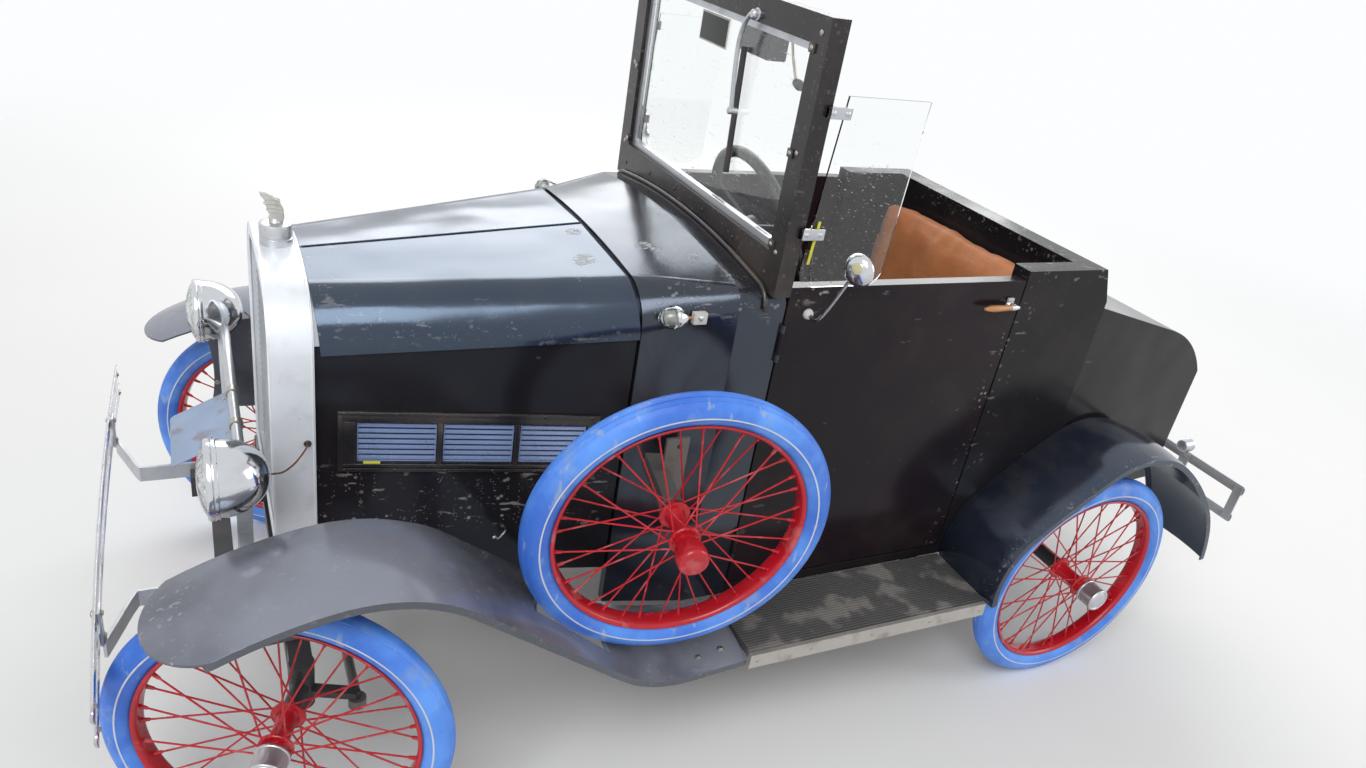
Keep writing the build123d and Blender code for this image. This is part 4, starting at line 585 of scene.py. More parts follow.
tyre_wall = (  # radius, half width, whether the band that follows is the stripe
    (203.2, 13.2, 0), (208.4, 13.9, 0), (211.0, 17.4, 0), (215.0, 21.3, 0), (219.5, 23.7, 0),
    (223.9, 24.8, 0), (224.2, 25.15, 1), (226.7, 25.2, 0), (227.0, 24.9, 0), (231.0, 24.75, 0),
    (236.0, 23.5, 0), (240.5, 21.3, 0), (244.0, 18.9, 0),
)
tread_steps = (  # half width, depth below the crown, notched
    (16.8, 0.0, True), (14.4, 0.0, True), (13.9, 1.4, False), (13.1, 1.4, False), (12.6, 0.0, False),
    (9.0, 0.0, False), (7.1, 0.0, False), (6.6, 1.3, False), (5.8, 1.3, False), (5.3, 0.0, False),
    (2.5, 0.0, False),
)


def make_tyre(name, body, middle, outward):
    """The tyre's wall with its white stripe, and the grooved, notched tread."""
    place = axes(middle, outward)
    profile = [(radius, width, stripe, False) for radius, width, stripe in tyre_wall]
    for width, depth, notched in tread_steps:
        profile.append((crown_centre + sqrt(crown_radius**2 - width**2) - depth, width, 0, notched))
    profile += [(radius, -width, 0, notched) for radius, width, stripe, notched in reversed(profile)]
    bands = [stripe for radius, width, stripe, notched in profile]
    bands[len(bands) - 2 - bands.index(1)] = 1
    rows = []
    for radius, width, stripe, notched in profile:
        root = radius - notch_depth if notched else radius
        rows.append(ridged(place, radius, root, width, tyre_segments, 3))
    piece = Piece()
    piece.rows(rows, around=True, closed=True, bands=bands)
    piece.finish(f"tyre_{name}_detail", body, "blue_tyre", [tyre_blue, white_stripe], [f"tyre_{name}"])


rim_half = [  # radius, half width
    (199.6, 0.0), (199.6, 8.0), (200.2, 12.8), (202.4, 16.0), (205.4, 17.9), (207.0, 18.0), (208.0, 17.2),
    (208.0, 16.0), (205.4, 15.2), (203.4, 13.6), (202.9, 9.0), (202.9, 0.0),
]
rim_section = rim_half + [(radius, -width) for radius, width in reversed(rim_half[1:-1])]
hub_half = ((15.5, 22), (17.5, 26.5), (25, 27.5), (26, 28.5), (26, 32), (25, 33.2), (15, 33.5))
hub_section = [(8.5, -42), (14.2, -42), (15, -41)]
hub_section += [(radius, -along) for radius, along in reversed(hub_half)]
hub_section += [(15, 0), *hub_half, (15, 45.2), (14.2, 46), (8.5, 46)]
spare_cup = (
    (12, 45), (19, 45), (21.5, 47), (22.5, 50), (24.6, 58), (25.8, 66), (26, 72), (25.4, 78), (23.6, 83.2),
    (22.4, 84), (10, 84.2), (0, 84.2),
)
cap_cup = (
    (12, 46), (25, 46), (26, 46.8), (26, 49.5), (24.8, 50.6), (24.6, 78), (25.4, 79.5), (25.4, 82),
    (24.2, 83.6), (21.8, 84), (20.6, 83.2), (19.6, 82.2), (18.6, 83.2), (17.4, 83.8), (8, 84.2), (0, 84.3),
)
spoke_count = 36
spoke_lead = 40  # degrees that a spoke runs ahead of its own flange hole, or behind it
flange_radius = 22.5
nipple_radii = [3.6, 3.2, 2.6, 1.8]


def make_wheel(name, body, middle, outward):
    """Channel rim, laced spokes with nipples, and the flanged hub."""
    place = axes(middle, outward)
    piece = Piece()
    piece.lathe(place, rim_section, 120, closed=True)
    piece.lathe(place, hub_section, 40, closed=True)
    for spoke in range(spoke_count):
        side = 1 if spoke % 2 else -1
        hub_turn = pi - 2 * pi * spoke / spoke_count
        rim_turn = hub_turn - radians(spoke_lead if spoke // 2 % 2 else -spoke_lead)
        hole = Vector((cos(hub_turn), sin(hub_turn), 0)) * flange_radius
        inner_end = hole + Vector((0, 0, side * 30))
        outer_end = Vector((cos(rim_turn) * 200.5, sin(rim_turn) * 200.5, side * 3))
        back = (inner_end - outer_end).normalized()
        piece.tube([place @ inner_end, place @ outer_end], 1.5, 8)
        nipple = [place @ (outer_end + back * distance) for distance in (0, 3, 11, 13)]
        piece.tube(nipple, nipple_radii, 8)
        head = axes(place @ (hole + Vector((0, 0, side * 33))), outward * side, (0.3, 0.2, 0.93))
        piece.lathe(head, ((2.6, 0), (2.2, 1.2), (1.0, 1.6)), 8, ends=True)
    if name == "spare":
        piece.lathe(place, spare_cup)
    piece.finish(f"wheel_{name}_detail", body, "red_paint", [red_paint], [f"wheel_{name}"])


def make_hub_cap(name, body, middle, outward):
    """Turned cup with a lip at its foot and a ring on its face."""
    piece = Piece()
    piece.lathe(axes(middle, outward), cap_cup, 56)
    piece.finish(f"hub_cap_{name}_detail", body, "alloy", [alloy], [f"hub_cap_{name}"])


for name, body, middle, outward in wheel_places:
    make_tyre(name, body, middle, outward)
    make_wheel(name, body, middle, outward)
    if name != "spare":
        make_hub_cap(name, body, middle, outward)

# Radiator: cap with a wing mascot, wire grille and the shell's front bead
wing_outline = (  # forward of the cap's middle, height above the cap
    (-12, -1), (-13, 10), (-12, 22), (-6, 35), (4, 43), (14, 47.5), (22, 48.5), (20, 42), (14, 34), (17, 31),
    (11, 24), (13, 20), (8, 13), (10, 7), (9, -1),
)
wing_layers = ((-4.0, 0.86), (-2.2, 0.97), (0, 1.0), (2.2, 0.97), (4.0, 0.86))  # sideways, scale
cap_x = 933.5
cap_top = 892.0
wing_middle = 22
wing_level = cap_top + wing_middle
cap_section = (
    (20, 855), (24.6, 857.5), (25, 859), (25, 868), (23.6, 869), (23.6, 871), (25, 872), (25, 888), (24, 891),
    (21, 892), (9, 892.6), (8, 895), (5, 898), (0, 898),
)
piece = Piece()
piece.lathe(axes((cap_x, 0, 0), up, (1, 0, 0)), cap_section)
rows = []
for y, size in wing_layers:
    rows.append([(cap_x + x * size, y, wing_level + (z - wing_middle) * size) for x, z in wing_outline])
piece.rows(rows, 1, around=True, ends=True)
for share in (0.25, 0.45, 0.65, 0.85):
    for side in (-1, 1):
        start = Vector((cap_x - 11 + 4 * share, side * 3.8, cap_top + 6 + 34 * share))
        end = Vector((cap_x + 8 + 9 * share, side * 3.4, cap_top + 8 + 34 * share))
        piece.tube([start, (start + end) / 2 + Vector((0, side * 0.8, 2)), end], 1.1, 6, 1)
piece.finish("radiator_cap_detail", "body", "alloy", [alloy, white_metal], ["radiator_cap"])


def arch(half_width, bottom, top, shoulder, crown, inset=0.0, steps=10):
    """Points up one side, over a round-shouldered crown and down the other, as y and z."""
    half_width -= inset
    top -= inset
    shoulder -= inset
    corner = (half_width - shoulder, top - crown - shoulder)
    side = [(half_width, bottom)]
    for step in range(steps + 1):
        turn = pi / 2 * step / steps
        side.append((corner[0] + shoulder * cos(turn), corner[1] + shoulder * sin(turn)))
    for step in range(1, steps):
        share = 1 - step / steps
        side.append((corner[0] * share, top - crown * share * share))
    return side + [(0, top)] + [(-y, z) for y, z in reversed(side)]


shell_section = (196, 390, 858, 92, 9)  # half width, bottom, top, shoulder radius and crown
core_section = (176, 408, 838, 72, 9)
beads = (  # x, outline, inset, radius, whether it closes along the bottom
    (964.2, shell_section, 1.6, 2.2, False), (963.0, core_section, -1.0, 2.4, True),
    (905.0, shell_section, -0.2, 1.6, False),
)
piece = Piece()
for x, outline, inset, radius, closed in beads:
    line = [(x, y, z) for y, z in arch(*outline, inset)]
    piece.tube(line + line[:1] if closed else line, radius, 8)
piece.finish("shell_bead", "body", "silver_paint", [sheet_metal])

# The grille's wires stop at the core's outline
core_half, core_bottom, core_top, core_shoulder, core_crown = core_section
flat_half = core_half - core_shoulder
bend_level = core_top - core_crown - core_shoulder
grille_x = 952.0
wire_pitch = 14
wire_rise = 7
piece = Piece()
for step in range(25):
    y = wire_pitch * (step - 12)
    past = abs(y) - flat_half
    top = core_top - 2 if past < 0 else bend_level + wire_rise + sqrt(max(core_shoulder**2 - past**2, 0))
    top -= core_crown * (abs(y) / core_half) ** 2
    piece.tube([(grille_x, y, core_bottom + 2), (grille_x, y, top)], 1.0, 5)
for step in range(30):
    z = core_bottom + 10 + step * wire_pitch
    reach = core_half - 1
    if z >= bend_level:
        reach = flat_half + sqrt(max(core_shoulder**2 - (z - bend_level) ** 2, 0))
    piece.tube([(grille_x + 1.6, -reach, z), (grille_x + 1.6, reach, z)], 1.0, 5)
piece.finish("radiator_mesh", "body", "core_grid", [silver])

# Hood: centre hinge, vent frames with a scrap of yellow tape, side hooks
hood_front = 902
hood_length = 482
hood_slope = atan2(43, hood_length)
hinge_start = Vector((899, 0, 850.6))
hinge_along = Vector((-cos(hood_slope), 0, sin(hood_slope)))
knuckle_pitch = 20.4
piece = Piece()
for step in range(23):
    start = hinge_start + hinge_along * (3 + step * knuckle_pitch)
    piece.tube([start, start + hinge_along * (knuckle_pitch - 0.5)], 1.9, 8)
piece.tube([hinge_start + hinge_along * 1, hinge_start + hinge_along * 473], 1.2, 6)
piece.finish("hood_hinge", "body", "dark_metal", [hood_black])

side_turn = atan2(100, hood_length)
stretch = 1 / cos(side_turn)
frame_bars = (  # rear x, front x, bottom, top, how far it stands proud
    (466, 869, 638, 650, 3.0), (466, 869, 650, 657, 5.0), (466, 869, 553, 560, 3.0),
    (466, 869, 547, 553, 5.0), (843, 862, 560, 638, 3.0), (862, 869, 553, 650, 5.0),
    (474, 485, 560, 638, 3.0), (466, 474, 553, 650, 5.0), (713, 721, 560, 638, 3.0),
    (593, 601, 560, 638, 3.0),
)
for side, name in sides:
    outward = Vector((sin(side_turn), side * cos(side_turn), 0))
    along = Vector((-cos(side_turn), side * sin(side_turn), 0))
    place = Matrix((along, up, outward)).transposed().to_4x4()
    place.translation = Vector((hood_front, side * 185.5, 0))
    piece = Piece()
    for rear, front, low, high, proud in frame_bars:
        middle = ((hood_front - (rear + front) / 2) * stretch, (low + high) / 2, proud / 2)
        piece.block(place @ Matrix.Translation(middle), ((front - rear) * stretch, high - low, proud))
    for x in (480, 556, 632, 708, 784, 860):
        for z in (653.5, 550):
            piece.bolt(place @ Vector(((hood_front - x) * stretch, z, 5.0)), outward, 1.6, 0, False)
    tape = place @ Matrix.Translation(((hood_front - 819) * stretch, 564, 3.4))
    piece.block(tape, (26, 4.5, 1.6), 0.6, 1)
    piece.finish(f"vent_frame_{name}", "body", "black_paint", [trim_black, yellow_tape])

hook = ((618, 243, 410), (616, 252, 412), (612, 256, 420), (606, 254, 425), (602, 247, 424))
piece = Piece()
for side in (-1, 1):
    piece.tube(smooth_line(mirrored(hook, side)), 1.5, 7)
    piece.bolt((620, side * 242.8, 409), (0.2, side, 0), 3.2, 0, False)
piece.finish("hood_side_hooks", "body", "silver_paint", [silver])

# Headlamps: bullet shells with a rim bead, reflector, bulb and fluted domed glass
lamp_y = 285
lamp_level = 615
lamp_bowl = ((54.0, 1056), (50, 1050), (44, 1043), (34, 1037), (22, 1033), (9, 1031), (0, 1031))
lamp_bulb = ((4.5, 1031), (4.5, 1036), (6.5, 1041), (7, 1046), (5, 1051), (0, 1053))
lamp_dome = (
    (0, 1070.4), (12, 1070.0), (24, 1068.6), (35, 1066.0), (44, 1062.6), (50, 1059.4), (54, 1056.4),
)
lamp_shell = [(0.0, 974.6), (6.0, 975.4)]
for step in range(1, 13):
    turn = pi / 2 * step / 12
    lamp_shell.append((6 + 51 * sin(turn) ** 0.92, 975.4 + 68 * (1 - cos(turn)) ** 0.95))
lamp_shell += [
    (58.2, 1042.4), (59, 1044.5), (59, 1048), (58.0, 1049.2), (59, 1050.4), (59, 1055), (57.8, 1057.6),
    (56, 1058.6), (54.6, 1057.8), (54.0, 1056),
]
shells = Piece()
glass = Piece()
for side in (-1, 1):
    place = axes((0, side * lamp_y, lamp_level), (1, 0, 0))
    shells.lathe(place, lamp_shell, 64)
    shells.lathe(place, lamp_bowl, 48, 1)
    shells.lathe(place, lamp_bulb, 20, 2)
    for way in (1, -1):
        shells.bolt((1052, side * lamp_y, lamp_level + way * 58.6), (0, 0, way), 2.0, 0, False)
    rows = []
    for radius, along in lamp_dome:
        row = []
        for step in range(72):
            turn = 2 * pi * step / 72
            across = radius * cos(turn)
            flute = 0.35 * cos(across * 1.1) if radius > 10 else 0.0
            row.append(place @ Vector((across, radius * sin(turn), along + flute)))
        rows.append(row)
    back = [[point - Vector((3.0, 0, 0)) for point in row] for row in reversed(rows)]
    glass.rows(rows + back, around=True)
shells.finish("headlamp_shells", "body", "chrome", [chrome, sheet_metal, lamp_glass], ["headlamps"])
glass.finish("headlamp_glass", "body", "clear_glass", [lamp_glass], ["headlamp_lenses"])

# Headlamp wires: short and stiff, from a grommet in the shell's side to the back of each lamp
grommet = ((1.4, 3.0), (4.2, 2.8), (5.6, 1.6), (5.8, 0))
wire = (
    (914, 196, 604), (915, 201, 603.5), (921, 212, 600), (936, 236, 597), (955, 262, 600), (972, 281, 611),
)
piece = Piece()
for side in (-1, 1):
    piece.lathe(axes((914, side * 196, 604), (0, side, 0)), grommet, 20)
    piece.tube(smooth_line(mirrored(wire, side), 8), 1.5, 8, 1)
piece.finish("headlamp_wires", "body", "dark_metal", [black_plastic, wire_brown])

# Number plate: blank pressed sheet, a little bent, on two clips round the cross-bar
plate_slope = radians(26)
plate_down = Vector((-cos(plate_slope), 0, sin(plate_slope)))
plate_out = Vector((sin(plate_slope), 0, cos(plate_slope)))
plate_low, plate_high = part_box("number_plate")
plate_middle = (plate_low.y + plate_high.y) / 2 / millimetre
plate_half = (plate_high.y - plate_low.y) / 2 / millimetre
plate_place = Matrix((Vector((0, 1, 0)), plate_down, plate_out)).transposed().to_4x4()
plate_place.translation = Vector((1014, plate_middle, 590.8))
plate_depth = 100
plate_corner = 8
plate_columns = 40
plate_rows = 26


def plate_point(across, down, thickness):
    """A point of the bent plate, with a pressed rim and rounded corners."""
    edge = min(down, plate_depth - down, plate_half - abs(across))
    pressed = 0.9 if 3.0 < edge < 6.5 else 0.0
    bend = 1.6 * noise.noise(Vector((across * 0.018, down * 0.02, 3.1))) * min(edge / 12, 1.0)
    corner_x = max(abs(across) - plate_half + plate_corner, 0)
    corner_y = max(abs(down - plate_depth / 2) - plate_depth / 2 + plate_corner, 0)
    over = hypot(corner_x, corner_y)
    pull = 1 - plate_corner / over if over > plate_corner else 0.0
    across -= corner_x * pull * (1 if across > 0 else -1)
    down -= corner_y * pull * (1 if down > plate_depth / 2 else -1)
    return plate_place @ Vector((across, -down, thickness + pressed + bend))


piece = Piece()
rims = []
for thickness in (1.5, 0.0):
    grid = []
    for i in range(plate_rows + 1):
        down = plate_depth * i / plate_rows
        places = [(j / plate_columns * 2 - 1) * plate_half for j in range(plate_columns + 1)]
        grid.append([plate_point(across, down, thickness) for across in places])
    piece.rows(grid)
    right_edge = [row[-1] for row in grid[1:]]
    left_edge = [row[0] for row in grid[-2:0:-1]]
    rims.append(grid[0] + right_edge + grid[-1][-2::-1] + left_edge)
piece.rows(rims, around=True)
for offset in (-52, 52):
    clip = axes((1010, plate_middle + offset, 601), (0, 1, 0))
    piece.lathe(clip, ((8.4, -7), (10.5, -6.6), (10.5, 6.6), (8.4, 7)), 28, 1, closed=True)
    piece.bolt(plate_place @ Vector((offset, -9, 1.4)), plate_out, 2.6, 1)
piece.finish("number_plate_detail", "body", "plate_paint", [plate_paint, bolt_metal], ["number_plate"])

# Bumpers: crowned twin bars on flat irons
bar_half = 12
bar_end = 0.982  # the share of the half length where a bar begins to narrow
bar_tip = (bar_end, 0.992, 0.998, 1.0)
bar_shares = [-share for share in reversed(bar_tip)]
bar_shares += [step / 18 * 1.94 - 0.97 for step in range(19)] + list(bar_tip)
bar_section = []  # how far out and how far up
for step in range(9):
    share = step / 8 * 2 - 1
    bar_section.append((3.0 - 2.6 * share * share, bar_half * share))
for share in (1, 0.5, 0, -0.5, -1):
    bar_section.append((-0.6 - 1.6 * share * share, bar_half * share))
front_iron = {
    "line": ((1207, 285), (1191, 241), (1170, 184), (1158, 177.6), (1100, 177.5), (1041, 177.5)),
    "low": 322, "high": 352, "bolts": (1056, 1078),
}
rear_iron = {
    "line": ((-1221, 240), (-1198, 210), (-1170, 182), (-1154, 177.6), (-1120, 177.5), (-1091, 177.5)),
    "low": 300, "high": 330, "bolts": (-1104, -1138),
}
rear_iron_y = 236


def make_bumper(name, x, outward, levels, half_length, iron_y, iron, bow, bar_finish, end_plates):
    """Two crowned bars, bowed back towards their ends, with their irons, straps and bolts."""
    piece = Piece()
    facing = Vector((outward, 0, 0))
    strap_x = x - outward * bow * (iron_y / half_length) ** 2
    tip_x = x - outward * (bow * 0.9 + 2.4)
    middle = sum(levels) / 2
    height = max(levels) - min(levels) + 20
    for level in levels:
        rows = []
        for share in bar_shares:
            shrink = 1 - 0.3 * (max(abs(share) - bar_end, 0) / (1 - bar_end)) ** 4
            bar_x = x - outward * bow * share * share
            y = share * half_length
            rows.append([(bar_x + outward * away, y, level + tall * shrink) for away, tall in bar_section])
        piece.rows(rows, around=True, ends=True)
    for side in (-1, 1):
        strap = axes((strap_x - outward * 5.5, side * iron_y, middle), facing)
        piece.block(strap, (26, height, 5), 1.0, 1)
        for level in levels:
            piece.bolt((strap_x + outward * 2.8, side * iron_y, level), facing, 4.2, 2, False)
            piece.bolt((strap_x - outward * 8, side * iron_y, level), -facing, 4.2, 2)
            piece.bolt((tip_x, side * (half_length - 24), level), -facing, 3.6, 2)
        if end_plates:
            plate = axes((x - outward * 4.6, side * (half_length - 13), middle), facing)
            piece.block(plate, (22, height, 3), 0.8, 1)
        line = smooth_line([(along, side * across, 0) for along, across in iron["line"]], 4)
        low = up * iron["low"]
        high = up * iron["high"]
        rows = []
        for i, point in enumerate(line):
            ahead = direction(line, i)
            away = Vector((-ahead.y, ahead.x, 0)) * 2.5
            rows.append([point - away + low, point + away + low, point + away + high, point - away + high])
        piece.rows(rows, 1, around=True, ends=True)
        for along in iron["bolts"]:
            piece.bolt((along, side * 180.2, (low.z + high.z) / 2), (0, side, 0), 4.6, 2)
    piece.finish(f"{name}_detail", "body", "chrome", [bar_finish, silver, bolt_metal], [name])


make_bumper("front_bumper", 1218, 1, (357, 399), 484, 276, front_iron, 10, bumper_chrome, False)
make_bumper("rear_bumper", -1227, -1, (270, 348), 408, rear_iron_y, rear_iron, 0, silver, True)

tail_barrel = (
    (0, -0.5), (13.5, -0.5), (15.5, 0.2), (17, 2), (17, 6), (16, 7), (16, 26), (15, 31), (11, 33.6), (0, 34),
)
piece = Piece()
for side in (-1, 1):
    y = side * rear_iron_y
    piece.lathe(axes((-1219, y, 382), (1, 0, 0)), tail_barrel, 40, bands=(1, 1, 0, 0, 0, 0, 0, 0, 0))
    piece.block(axes((-1217, y, 366), (1, 0, 0)), (14, 34, 4), 0.8)
    piece.bolt((-1214.8, y, 356), (1, 0, 0), 3)
piece.finish("tail_lamp_detail", "body", "silver_paint", [silver, red_lens], ["tail_lamps"])

# Side lamps on the cowl: ribbed clear nose, bright ring and a broken holder
side_lamp_ring = (
    (9, -21), (13, -20), (15.5, -16), (17.5, -10), (19, -6), (19, -2.5), (17.8, -1.6), (17.8, 0), (11, 0),
)
side_lamp_nose = ((17.6, -1), (17.4, 5), (16.0, 12), (12.6, 18.5), (7.0, 23), (0.0, 24.6))
side_lamp_blocks = (  # x, y, z, size, bevel, mark
    (373, 303, 853, (16, 13, 26), 1.5, 0), (338, 320, 850, (24, 20, 12), 2.5, 1),
    (338, 313, 850, (14, 12, 14), 1.5, 2),
)
side_lamp_wire = ((350, 319, 850), (357, 320, 851), (366, 321, 852))
metal_parts = Piece()
clear_parts = Piece()
for side in (-1, 1):
    place = axes((385, side * 322, 853), (1, 0, 0))
    metal_parts.lathe(place, side_lamp_ring, 36)
    nose = [ridged(place, radius * 1.03, radius, along, 36, 2) for radius, along in side_lamp_nose]
    clear_parts.rows(nose, around=True)
    clear_parts.lathe(place, ((15.8, 0), (14.6, 9), (9.8, 16.5), (0, 21.5)), 30)
    metal_parts.lathe(place, ((5, -1), (5, 6), (3.5, 9), (0, 10)), 16, 1)
    for x, y, z, size, bevel, mark in side_lamp_blocks:
        metal_parts.block(axes((x, side * y, z), (0, side, 0)), size, bevel, mark)
    metal_parts.bolt((338, side * 326.3, 852), (0, side, 0), 3.4, 0, False)
    metal_parts.tube(mirrored(side_lamp_wire, side), 2.4, 8, 2)
metal_parts.finish("side_lamp_detail", "body", "chrome", [chrome, white_metal, tan_plastic], ["side_lamps"])
clear_parts.finish("side_lamp_lens", "body", "clear_plastic", [lamp_glass])

# Windscreen: base moulding, joint lugs and screws, wiper motor, inner crank, blank placard
screen_face = 222.3
base_top = 919
base_crown = 22
base_flat = 293
piece = Piece()
outline = arch(body_side, 872, base_top, body_side - base_flat, base_crown, inset=-3.0, steps=8)
piece.tube([(226, y, z) for y, z in outline], 4.2)
for y in (-300, -180, -60, 60, 180, 300):
    z = base_top - base_crown * (abs(y) / base_flat) ** 2 if abs(y) < base_flat else 896
    piece.bolt((screen_face, y, z + 22), (1, 0, 0), 2.6, 0, False)
for side in (-1, 1):
    for z in (960, 1120, 1296):
        piece.bolt((screen_face, side * 321, z), (1, 0, 0), 3.0, 1, False)
    for z in (969, 1116, 1272):
        piece.block(axes((222.5, side * 306, z), (1, 0, 0)), (16, 14, 5), 1.5)
        piece.bolt((225, side * 306, z), (1, 0, 0), 2.8, 1, False)
piece.finish("windscreen_fittings", "body", "black_paint", [trim_black, bolt_metal])

crank = ((182, 178, 1284), (178, 181, 1268), (174, 190, 1236), (170, 202, 1207))
crank_knob = ((0, -2), (6, -1), (8, 5), (8.5, 12), (6, 18), (0, 20))
piece = Piece()
piece.block(axes((169, 80, 1252), (1, 0, 0)), (104, 66, 38), 5, 0, 3)
piece.lathe(axes((0, 146, 1289), (1, 0, 0)), ((5, 160), (5, 190.5), (0, 190.5)), 16)
piece.block(axes((186, 80, 1290), (1, 0, 0)), (84, 22, 7), 1.5)
piece.tube(smooth_line(crank), 2.8, 8, 1)
piece.lathe(axes((170, 203, 1203), (-0.2, 0.9, -0.3)), crank_knob, 20)
piece.finish("wiper_motor", "body", "dark_metal", [black_plastic, bolt_metal])

piece = Piece()
piece.block(axes((209.6, -29, 1238), (1, 0, 0)), (104, 50, 1.0), 0.4, 1)
piece.block(axes((210.3, -29, 1238), (1, 0, 0)), (98, 44, 0.8), 0.3)
piece.finish("blank_placard", "body", "black_paint", [black_plastic, white_metal])

wiper_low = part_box("wiper")[0]
blade_y = wiper_low.y / millimetre + 7
blade_lean = 12.0
blade_foot = 1024
blade_length = 208
blade_steps = 14
arm = (
    (230, 134, 1290), (231, 124, 1286), (230, 108, 1268), (228, 97, 1236), (225, blade_y - 2, 1180),
    (221, blade_y, 1128),
)
piece = Piece()
piece.lathe(axes((222, 132, 1289), (1, 0, 0)), ((10, 0), (10, 2), (7.5, 3), (7.5, 9), (6, 11.6), (0, 12)), 24)
piece.tube(smooth_line(arm), 4.0)
piece.lathe(axes((210, blade_y, 1128), (1, 0, 0)), ((5.5, 0), (6, 9), (6, 16), (4, 17.5), (0, 17.5)), 20)
for wide, start, end, mark in ((3.4, 209.2, 213.0, 1), (2.6, 213.0, 218.5, 2)):
    corners = ((start, -wide), (end, -wide * 0.6), (end, wide * 0.6), (start, wide))
    rows = []
    for step in range(blade_steps + 1):
        share = step / blade_steps
        middle = blade_y + blade_lean * (0.5 - share)
        rows.append([(x, middle + across, blade_foot + blade_length * share) for x, across in corners])
    piece.rows(rows, mark, around=True, ends=True)
piece.finish("wiper_detail", "body", "dark_metal", [silver, black_plastic, dark_metal], ["wiper"])

# Wind wings: bright clips and a strip of yellow tape at the front edge
piece = Piece()
for side in (-1, 1):
    for z, length in ((1000, 40), (1190, 36)):
        piece.block(axes((178, side * 350.3, z), (0, side, 0)), (length, 18, 2.0), 0.8)
        for x in (166, 192):
            piece.bolt((x, side * 351.3, z), (0, side, 0), 2.8, 0, False)
    piece.block(axes((172, side * 347.1, 985), (0, side, 0), (-0.07, 0, 1)), (5, 72, 1.2), 0.4, 1)
piece.finish("wing_clips", "body", "silver_paint", [silver, yellow_tape])

# Door mirrors: domed dish with a pale disc, ball clamp and bent rod
mirror_foot = ((9.5, 0), (9.5, 2), (8.4, 5), (5.5, 7.4), (0, 8))
mirror_rod = (
    (137, 333, 852), (137, 344, 850), (136, 358, 855), (133, 378, 890), (130, 398, 932), (129, 408, 950),
)
mirror_clamp = ((0, -8), (6, -7), (7.5, -2), (7.5, 4), (5, 8), (0, 9))
mirror_dish = (
    (0, -14.4), (8, -14.2), (15, -13), (21, -10.4), (25, -6.5), (26.6, -3), (27, 0), (26.4, 0.8), (25.2, 0.6),
)
mirror_disc = ((0, 2.8), (6, 2.6), (9, 1.8), (10, 0.2), (10, -2))
mirror_finishes = [chrome, sheet_metal, pale_plastic, white_metal]
for side, name in sides:
    facing = Vector((-0.92, -side * 0.38, 0.05)).normalized()
    head = Vector((128, side * 419, 968))
    up_side = facing.cross(Vector((0, side, 0))).normalized()
    across = facing.cross(up_side).normalized() * -side
    spot = head - facing * 12.6 + Vector((0, 0, 6)) + across * 3
    piece = Piece()
    piece.lathe(axes((137, side * body_side, waist), (0, side, 0)), mirror_foot, 28, 3)
    piece.tube(smooth_line(mirrored(mirror_rod, side)), 3.2)
    piece.lathe(axes((129.5, side * 410, 953), (0.2, 0, 1)), mirror_clamp, 16)
    piece.lathe(axes(head, facing), mirror_dish)
    piece.lathe(axes(head, facing), ((25.4, 0.2), (12, -0.6), (0, -0.8)), 40, 1)
    piece.lathe(axes(spot, -facing), mirror_disc, 28, 2)
    node = f"door_mirror_{name}"
    piece.finish(f"{node}_detail", f"door_{name}", "chrome", mirror_finishes, [node])

# Door handles: turned tan lever with a bright end
handle_foot = ((10, 0), (10, 2), (8.5, 4), (6.5, 6), (6.5, 13), (5, 14), (0, 14))
lever_radii = [2.5, 4.6, 5.8, 6.3, 6.4, 6.2, 5.8, 5.4, 5.2, 5.0]
for side, name in sides:
    low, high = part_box(f"door_handle_{name}")
    rear = low.x / millimetre
    front = high.x / millimetre
    grip_y = side * 341.5
    pitch = (front - rear - 20) / (len(lever_radii) - 1)
    lever = [(front - 1 - step * pitch, grip_y, waist) for step in range(len(lever_radii))]
    piece = Piece()
    piece.lathe(axes((rear + 12, side * body_side, waist), (0, side, 0)), handle_foot, 28, 1)
    piece.tube(lever, lever_radii, 14)
    piece.tube([(rear + along, grip_y, waist) for along in (21, 12, 1)], [5.6, 6.2, 3.5], 14, 1)
    piece.block(axes((rear + 16, side * 331, 864), (0, side, 0)), (14, 7, 5), 1.5, 2)
    node = f"door_handle_{name}"
    piece.finish(f"{node}_detail", f"door_{name}", "tan_plastic", [tan_plastic, alloy, white_metal], [node])

# Running boards: ribbed mats and the bolts through the fenders' feet
mat_inner = 330.0
mat_outer = 486.5
mat_underside = 261.8
rib_count = 25
rib_pitch = (mat_outer - mat_inner) / rib_count
rib = ((0, mat_foot), (0.12, mat_top), (0.55, mat_top), (0.67, mat_foot))  # share of the pitch, level
mat_section = []
for step in range(rib_count):
    mat_section += [(mat_inner + (step + share) * rib_pitch, z) for share, z in rib]
mat_section += [(mat_outer, mat_foot), (mat_outer, mat_underside), (mat_inner, mat_underside)]
piece = Piece()
for side in (-1, 1):
    rows = [[(x, side * y, z) for y, z in mat_section] for x in (-346.5, -340, -200, -60, 80, 200, 209.5)]
    piece.rows(rows, around=True, ends=True)
piece.finish("running_board_mats", "body", "mat_rubber", [mat], sharp=25)

